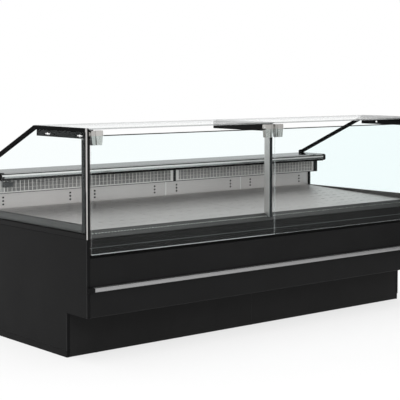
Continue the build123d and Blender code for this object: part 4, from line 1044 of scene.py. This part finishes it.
@dataclass
class AirOutlet:
    """The air outlet under the worktop: two barred grilles, their brackets and the thermometer."""

    left_plate: float = 8.0 * MM
    middle_plate: float = 22.0 * MM
    right_plate: float = 18.0 * MM
    slat_spacing: float = 6.0 * MM
    slat_thickness: float = 3.8 * MM
    slat_depth: float = 8.0 * MM
    slat_end_gap: float = 1.0 * MM
    cover_proud: float = 1.5 * MM
    cover_thickness: float = 0.6 * MM
    cover_sink: float = 0.1 * MM
    rail_height: float = 7.0 * MM
    bar_width: float = 4.8 * MM
    bar_spacing: float = 27.0 * MM
    wire_radius: float = 1.1 * MM
    wire_count: int = 2
    edge: float = 0.8 * MM
    window_rim: float = 3.2 * MM
    window_proud: float = 0.2 * MM
    window_depth: float = 1.2 * MM
    window_edge: float = 0.5 * MM

    def build(self) -> None:
        """Builds the grilles and dresses the brackets and the thermometer."""
        self.grille("left", self.left_plate, self.middle_plate)
        self.grille("right", self.middle_plate, self.right_plate)
        dress(GREY_METAL, self.edge, "outlet_carrier")
        dress(THERMOMETER_CASE, 0.0, "thermometer")
        self.thermometer_window()
        self.end_cover()

    def end_cover(self) -> None:
        """Carries the left grille's bars on over the face of the left end bracket."""
        low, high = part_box("grille_left")
        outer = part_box("outlet_carrier")[0].x
        front = low.y - self.cover_proud
        plate = Shape().block((outer, low.y - self.cover_thickness, low.z), (low.x, low.y + self.cover_sink, high.z))
        plate.piece("left_bracket_cover", STRAIGHTENER)
        bars = Shape().block((outer, front, low.z), (low.x, low.y, low.z + self.rail_height), self.edge / 2)
        for x in (outer, (outer + low.x - self.bar_width) / 2):
            bars.block((x, front, low.z), (x + self.bar_width, low.y, high.z), self.edge / 2)
        bars.piece("left_bracket_bars", GRILLE_STEEL)

    def grille(self, word: str, first_plate: float, last_plate: float) -> None:
        """Builds one grille of end plates, rails, upright bars and level wires, and the slats behind it.

        Args:
            word: The grille's side as a word.
            first_plate: Width of its left end plate.
            last_plate: Width of its right end plate.
        """
        low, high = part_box(f"grille_{word}")
        start, end = low.x + first_plate, high.x - last_plate
        foot, head = low.z + self.rail_height, high.z - self.rail_height
        half = self.bar_width / 2
        shape = Shape()
        for first, last in ((low.x, start), (end, high.x)):
            shape.block((first, low.y, low.z), (last, high.y, high.z), self.edge)
        for lower, upper in ((low.z, foot), (head, high.z)):
            shape.block((start, low.y, lower), (end, high.y, upper), self.edge)
        for place in spaced(int((end - start) / self.bar_spacing), self.bar_spacing):
            x = (start + end) / 2 + place
            shape.block((x - half, low.y + self.edge, foot), (x + half, high.y - self.edge, head), self.edge)
        for index in range(self.wire_count):
            height = foot + (head - foot) * (index + 1) / (self.wire_count + 1)
            wire = [Vector((x, high.y - self.wire_radius, height)) for x in (start, end)]
            shape.rod(*wire, self.wire_radius, 8)
        shape.piece(f"grille_{word}_bars", GRILLE_STEEL, CABINET, f"grille_{word}")
        half = self.slat_thickness / 2
        slats = Shape()
        for index in range(int((end - start) / self.slat_spacing)):
            x = start + (index + 0.5) * self.slat_spacing
            slats.block((x - half, high.y, low.z + self.slat_end_gap),
                        (x + half, high.y + self.slat_depth, high.z - self.slat_end_gap))
        slats.piece(f"air_straightener_{word}", STRAIGHTENER)

    def thermometer_window(self) -> None:
        """Adds the thermometer's framed window."""
        low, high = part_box("thermometer")
        rim = self.window_rim
        shape = Shape().block((low.x + rim, low.y - self.window_proud, low.z + rim),
                              (high.x - rim, low.y + self.window_depth, high.z - rim), self.window_edge)
        shape.piece("thermometer_window", SMOKED_WINDOW)


@dataclass
class Worktop:
    """The stainless worktop with its black end caps, nose seam, a bright band of painted highlight and a black strip
    of painted shade under the nose.
    """

    cap_edge: float = 1.2 * MM
    cap_overlaps: tuple[float, float] = (15.0 * MM, 4.0 * MM)
    nose_radius: float = 14.0 * MM
    seam_sweep: tuple[float, float] = (radians(9), radians(30))
    seam_proud: float = 0.4 * MM
    band_height: float = 7.0 * MM
    band_overlap: float = 2.0 * MM
    band_edge: float = 0.32 * MM
    strip_rise: float = 9.0 * MM
    strip_drop: float = 2.0 * MM
    strip_depth: float = 20.0 * MM

    def build(self) -> None:
        """Dresses the worktop and adds its seam, its band of painted highlight and its strip of painted shade, which
        lap over the caps.
        """
        dress(WORKTOP_STEEL, 0.0, "worktop")
        dress(BLACK_TRIM, self.cap_edge, "worktop_caps")
        low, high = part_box("worktop")
        low.x -= self.cap_overlaps[0]
        high.x += self.cap_overlaps[1]
        # The black seam strip reaches up over the nose's upper curve, where it also paints shade over that curve's
        # highlight.
        bend = Vector((low.x, low.y + self.nose_radius, high.z - self.nose_radius))
        radii = (self.nose_radius - 2 * self.seam_proud, self.nose_radius + self.seam_proud)
        seam = Shape().curved_strip(bend, radii, self.seam_sweep, high.x - low.x)
        seam.piece("worktop_nose_seam", RUBBER)
        # Painted highlight: a bright steel band across the nose's face stands in for the highlight line there.
        band = Shape().block((low.x, low.y - self.seam_proud, bend.z - self.band_height),
                             (high.x, low.y + self.band_overlap, bend.z + self.band_overlap), self.band_edge)
        band.piece("worktop_nose_highlight_band", NOSE_STEEL)
        # Painted shade: a black strip over the foot of the nose and under it stands in for the shade there.
        front = low.y - 2 * self.seam_proud
        strip = Shape().block((low.x, front, low.z - self.strip_drop),
                              (high.x, front + self.strip_depth, low.z + self.strip_rise), self.seam_proud)
        strip.piece("worktop_nose_shade_strip", RUBBER)


@dataclass
class RearService:
    """The working side: rear panel, louvred service covers, controller, switch and terminal box."""

    hood_length: float = 262.0 * MM
    hood_reach: float = 2.6 * MM
    hood_height: float = 8.0 * MM
    hood_sink: float = 0.1 * MM
    hood_edge: float = 0.8 * MM
    louvre_rows: int = 9
    louvre_spacing: float = 20.0 * MM
    louvre_columns: float = 380.0 * MM
    screw_radius: float = 4.5 * MM
    screw_height: float = 2.2 * MM
    screw_inset: float = 22.0 * MM
    face_recess: float = 0.8 * MM
    window_low: Point = (26.0 * MM, -0.4 * MM, 8.0 * MM)
    window_high: Point = (-8.0 * MM, 0.5 * MM, -8.0 * MM)
    window_edge: float = 0.3 * MM
    key_place: Point = (9.0 * MM, -0.2 * MM, 10.0 * MM)
    key_size: Point = (5.5 * MM, 1.0 * MM, 6.5 * MM)
    key_spacing: tuple[float, float] = (8.0 * MM, 9.5 * MM)
    key_edge: float = 0.4 * MM
    mark_inset: float = 4.0 * MM
    mark_sink: float = 0.55 * MM
    mark_height: float = 0.5 * MM
    bar_half: tuple[float, float] = (0.5 * MM, 1.8 * MM)
    ring_radii: tuple[float, float] = (1.0 * MM, 1.9 * MM)

    def build(self) -> None:
        """Dresses the working side and adds louvre hoods, screws, keys and switch marks."""
        paint(BLACK_SHEET, "rear_panel", "service_panels")
        paint(GREY_PLASTIC, "terminal_box")
        dress(GLOSS_PLASTIC, 0.0, "controller", "main_switch")
        dress(GREEN_PLASTIC, 0.0, "main_switch_rocker")
        self.hoods()
        self.panel_screws()
        self.controller_face()
        self.switch_marks()

    def hoods(self) -> None:
        """Adds the pressed hoods above the louvre slots."""
        low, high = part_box("service_panels")
        middle = (low.z + high.z) / 2
        profile = ((-self.hood_sink, 0.0), (self.hood_reach, 0.0), (-self.hood_sink, self.hood_height))
        shape = Shape()
        for panel in spaced(2, high.x):
            for column in spaced(2, self.louvre_columns):
                x = panel + column - self.hood_length / 2
                for row in spaced(self.louvre_rows, self.louvre_spacing):
                    corners = [Vector((x, high.y + reach, middle + row + rise)) for reach, rise in profile]
                    shape.prism(corners, Axis.X.vector * self.hood_length, self.hood_edge)
        shape.piece("louvre_hoods", BLACK_SHEET)

    def panel_screws(self) -> None:
        """Adds the screws round the rear and service panels."""
        shape = Shape()
        for node, columns in (("rear_panel", 5), ("service_panels", 4)):
            low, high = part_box(node)
            gap = (high.x - low.x - 2 * self.screw_inset) / (columns - 1)
            for height in (low.z + self.screw_inset, high.z - self.screw_inset):
                for offset in spaced(columns, gap):
                    place = Vector(((low.x + high.x) / 2 + offset, high.y, height))
                    shape.screw_head(place, Axis.Y.vector, self.screw_radius, self.screw_height)
        shape.piece("panel_screws", POLISHED)

    def controller_face(self) -> None:
        """Adds the controller's window and its keys."""
        low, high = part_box("controller")
        low.y = high.y = high.y - self.face_recess
        window = Shape().block(low + Vector(self.window_low), high + Vector(self.window_high), self.window_edge)
        window.piece("controller_window", GREY_PLASTIC)
        keys = Shape()
        for column in range(2):
            for row in range(2):
                step = Vector((column * self.key_spacing[0], 0, row * self.key_spacing[1]))
                corner = low + Vector(self.key_place) + step
                keys.block(corner, corner + Vector(self.key_size), self.key_edge)
        keys.piece("controller_keys", WHITE_MARK)

    def switch_marks(self) -> None:
        """Adds the raised bar and ring that mark the rocker's two ends."""
        low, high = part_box("main_switch_rocker")
        foot = Vector(((low.x + high.x) / 2, high.y - self.mark_sink, low.z + self.mark_inset))
        bar = Vector((foot.x, foot.y, high.z - self.mark_inset))
        half = Vector((self.bar_half[0], 0, self.bar_half[1]))
        shape = Shape().block(bar - half, bar + half + Axis.Y.vector * self.mark_height)
        inner, outer = self.ring_radii
        outline = ((inner, 0.0), (inner, self.mark_height), (outer, self.mark_height), (outer, 0.0), (inner, 0.0))
        shape.turned(outline, foot, Axis.Y.vector)
        shape.piece("switch_marks", WHITE_MARK, "main_switch_rocker")


@dataclass
class Machinery:
    """What the casing hides: frame, feet, evaporator, fans, lines and drain."""

    def build(self) -> None:
        """Finishes the hidden parts."""
        paint(ZINC, "base_frame", "fan_plate")
        paint(GREY_PLASTIC, "levelling_feet", "drain_outlet")
        paint(FIN_METAL, "evaporator_fins")
        paint(COPPER, "evaporator_coil", "refrigerant_lines")
        paint(CASTING, "fan_motors")
        paint(GREY_PLASTIC, "fan_rotor_left", "fan_rotor_middle", "fan_rotor_right")


@dataclass
class Lamp:
    """A soft rectangular studio lamp."""

    name: str
    place: Point
    aim: Point
    width: float
    height: float
    power: float
    mirrored: bool = False

    def build(self) -> None:
        """Hangs the lamp and turns it to what it lights."""
        light = bpy.data.lights.new(self.name, "AREA")
        light.shape = "RECTANGLE"
        light.size = self.width
        light.size_y = self.height
        light.energy = self.power
        made = bpy.data.objects.new(self.name, light)
        made.location = self.place
        made.rotation_euler = (Vector(self.aim) - Vector(self.place)).to_track_quat("-Z", "Y").to_euler()
        made.visible_camera = False
        made.visible_glossy = self.mirrored
        bpy.context.scene.collection.objects.link(made)


@dataclass
class Studio:
    """Pale floor, white surround and soft lamps."""

    floor_radius: float = 60.0
    ambient: float = 0.55

    def build(self) -> None:
        """Builds the floor, the surround and the lamps."""
        self.floor()
        self.surround()
        for lamp in (
            Lamp("key_lamp", (-3.5, -4.5, 4.0), (0.0, -0.3, 0.6), 4.0, 3.5, 155.0, mirrored=True),
            Lamp("fill_lamp", (4.5, -4.0, 3.0), (0.2, -0.3, 0.6), 3.0, 2.0, 12.0),
            Lamp("top_lamp", (0.0, 0.4, 4.5), (0.0, 0.2, 0.8), 6.5, 4.5, 80.0),
            Lamp("rear_lamp", (0.5, 5.0, 3.2), (0.0, 0.5, 0.6), 6.0, 3.4, 70.0),
        ):
            lamp.build()
        bpy.context.scene.view_settings.view_transform = "Standard"

    def floor(self) -> None:
        """Lays the floor."""
        shape = bmesh.new()
        bmesh.ops.create_circle(shape, cap_ends=True, segments=64, radius=self.floor_radius)
        mesh = bpy.data.meshes.new("studio_floor")
        shape.to_mesh(mesh)
        shape.free()
        mesh.materials.append(FloorPaint("pale_floor", "").material())
        made = bpy.data.objects.new("studio_floor", mesh)
        bpy.context.scene.collection.objects.link(made)

    def surround(self) -> None:
        """Makes the surround white to look at, softer as a light and dimmer to the front right."""
        world = bpy.data.worlds.new("studio_surround")
        world.use_nodes = True
        graph = Graph(world.node_tree)
        looking = graph.node("ShaderNodeTexCoord", output="Generated")
        seen = graph.seen_directly()
        strength = DimSide().tone(graph, looking) * (seen + (1.0 - seen) * self.ambient)
        light = graph.node("ShaderNodeBackground", inputs={"Color": strength})
        graph.node("ShaderNodeOutputWorld", inputs={"Surface": light})
        bpy.context.scene.world = world


@dataclass
class PhotoCamera:
    """The camera at the photograph's viewing angle, fitted to the counter's straight edges."""

    lens: float = 107.49
    sensor: float = 36.0
    place: Point = (-4.58641, -5.41497, 1.44206)
    pitch: float = 86.5
    turn: float = -39.6572
    shift: tuple[float, float] = (-0.00295, -0.1295)

    def build(self) -> None:
        """Makes the camera and chooses it."""
        data = bpy.data.cameras.new("photo_camera")
        data.lens = self.lens
        data.sensor_width = self.sensor
        data.shift_x, data.shift_y = self.shift
        data.clip_end = 200.0
        made = bpy.data.objects.new("photo_camera", data)
        made.location = self.place
        made.rotation_euler = (radians(self.pitch), 0.0, radians(self.turn))
        bpy.context.scene.collection.objects.link(made)
        bpy.context.scene.camera = made


def main() -> None:
    """Builds the camera, the studio and the sub-assemblies in order."""
    logging.basicConfig(level=logging.INFO, format="%(message)s")
    for assembly in (PhotoCamera(), Studio(), Cladding(), Glazing(), PaneHinges(), Display(), AirOutlet(),
                     Worktop(), RearService(), Machinery()):
        assembly.build()
        log.info("%s built", type(assembly).__name__)


if __name__ == "__main__":
    main()
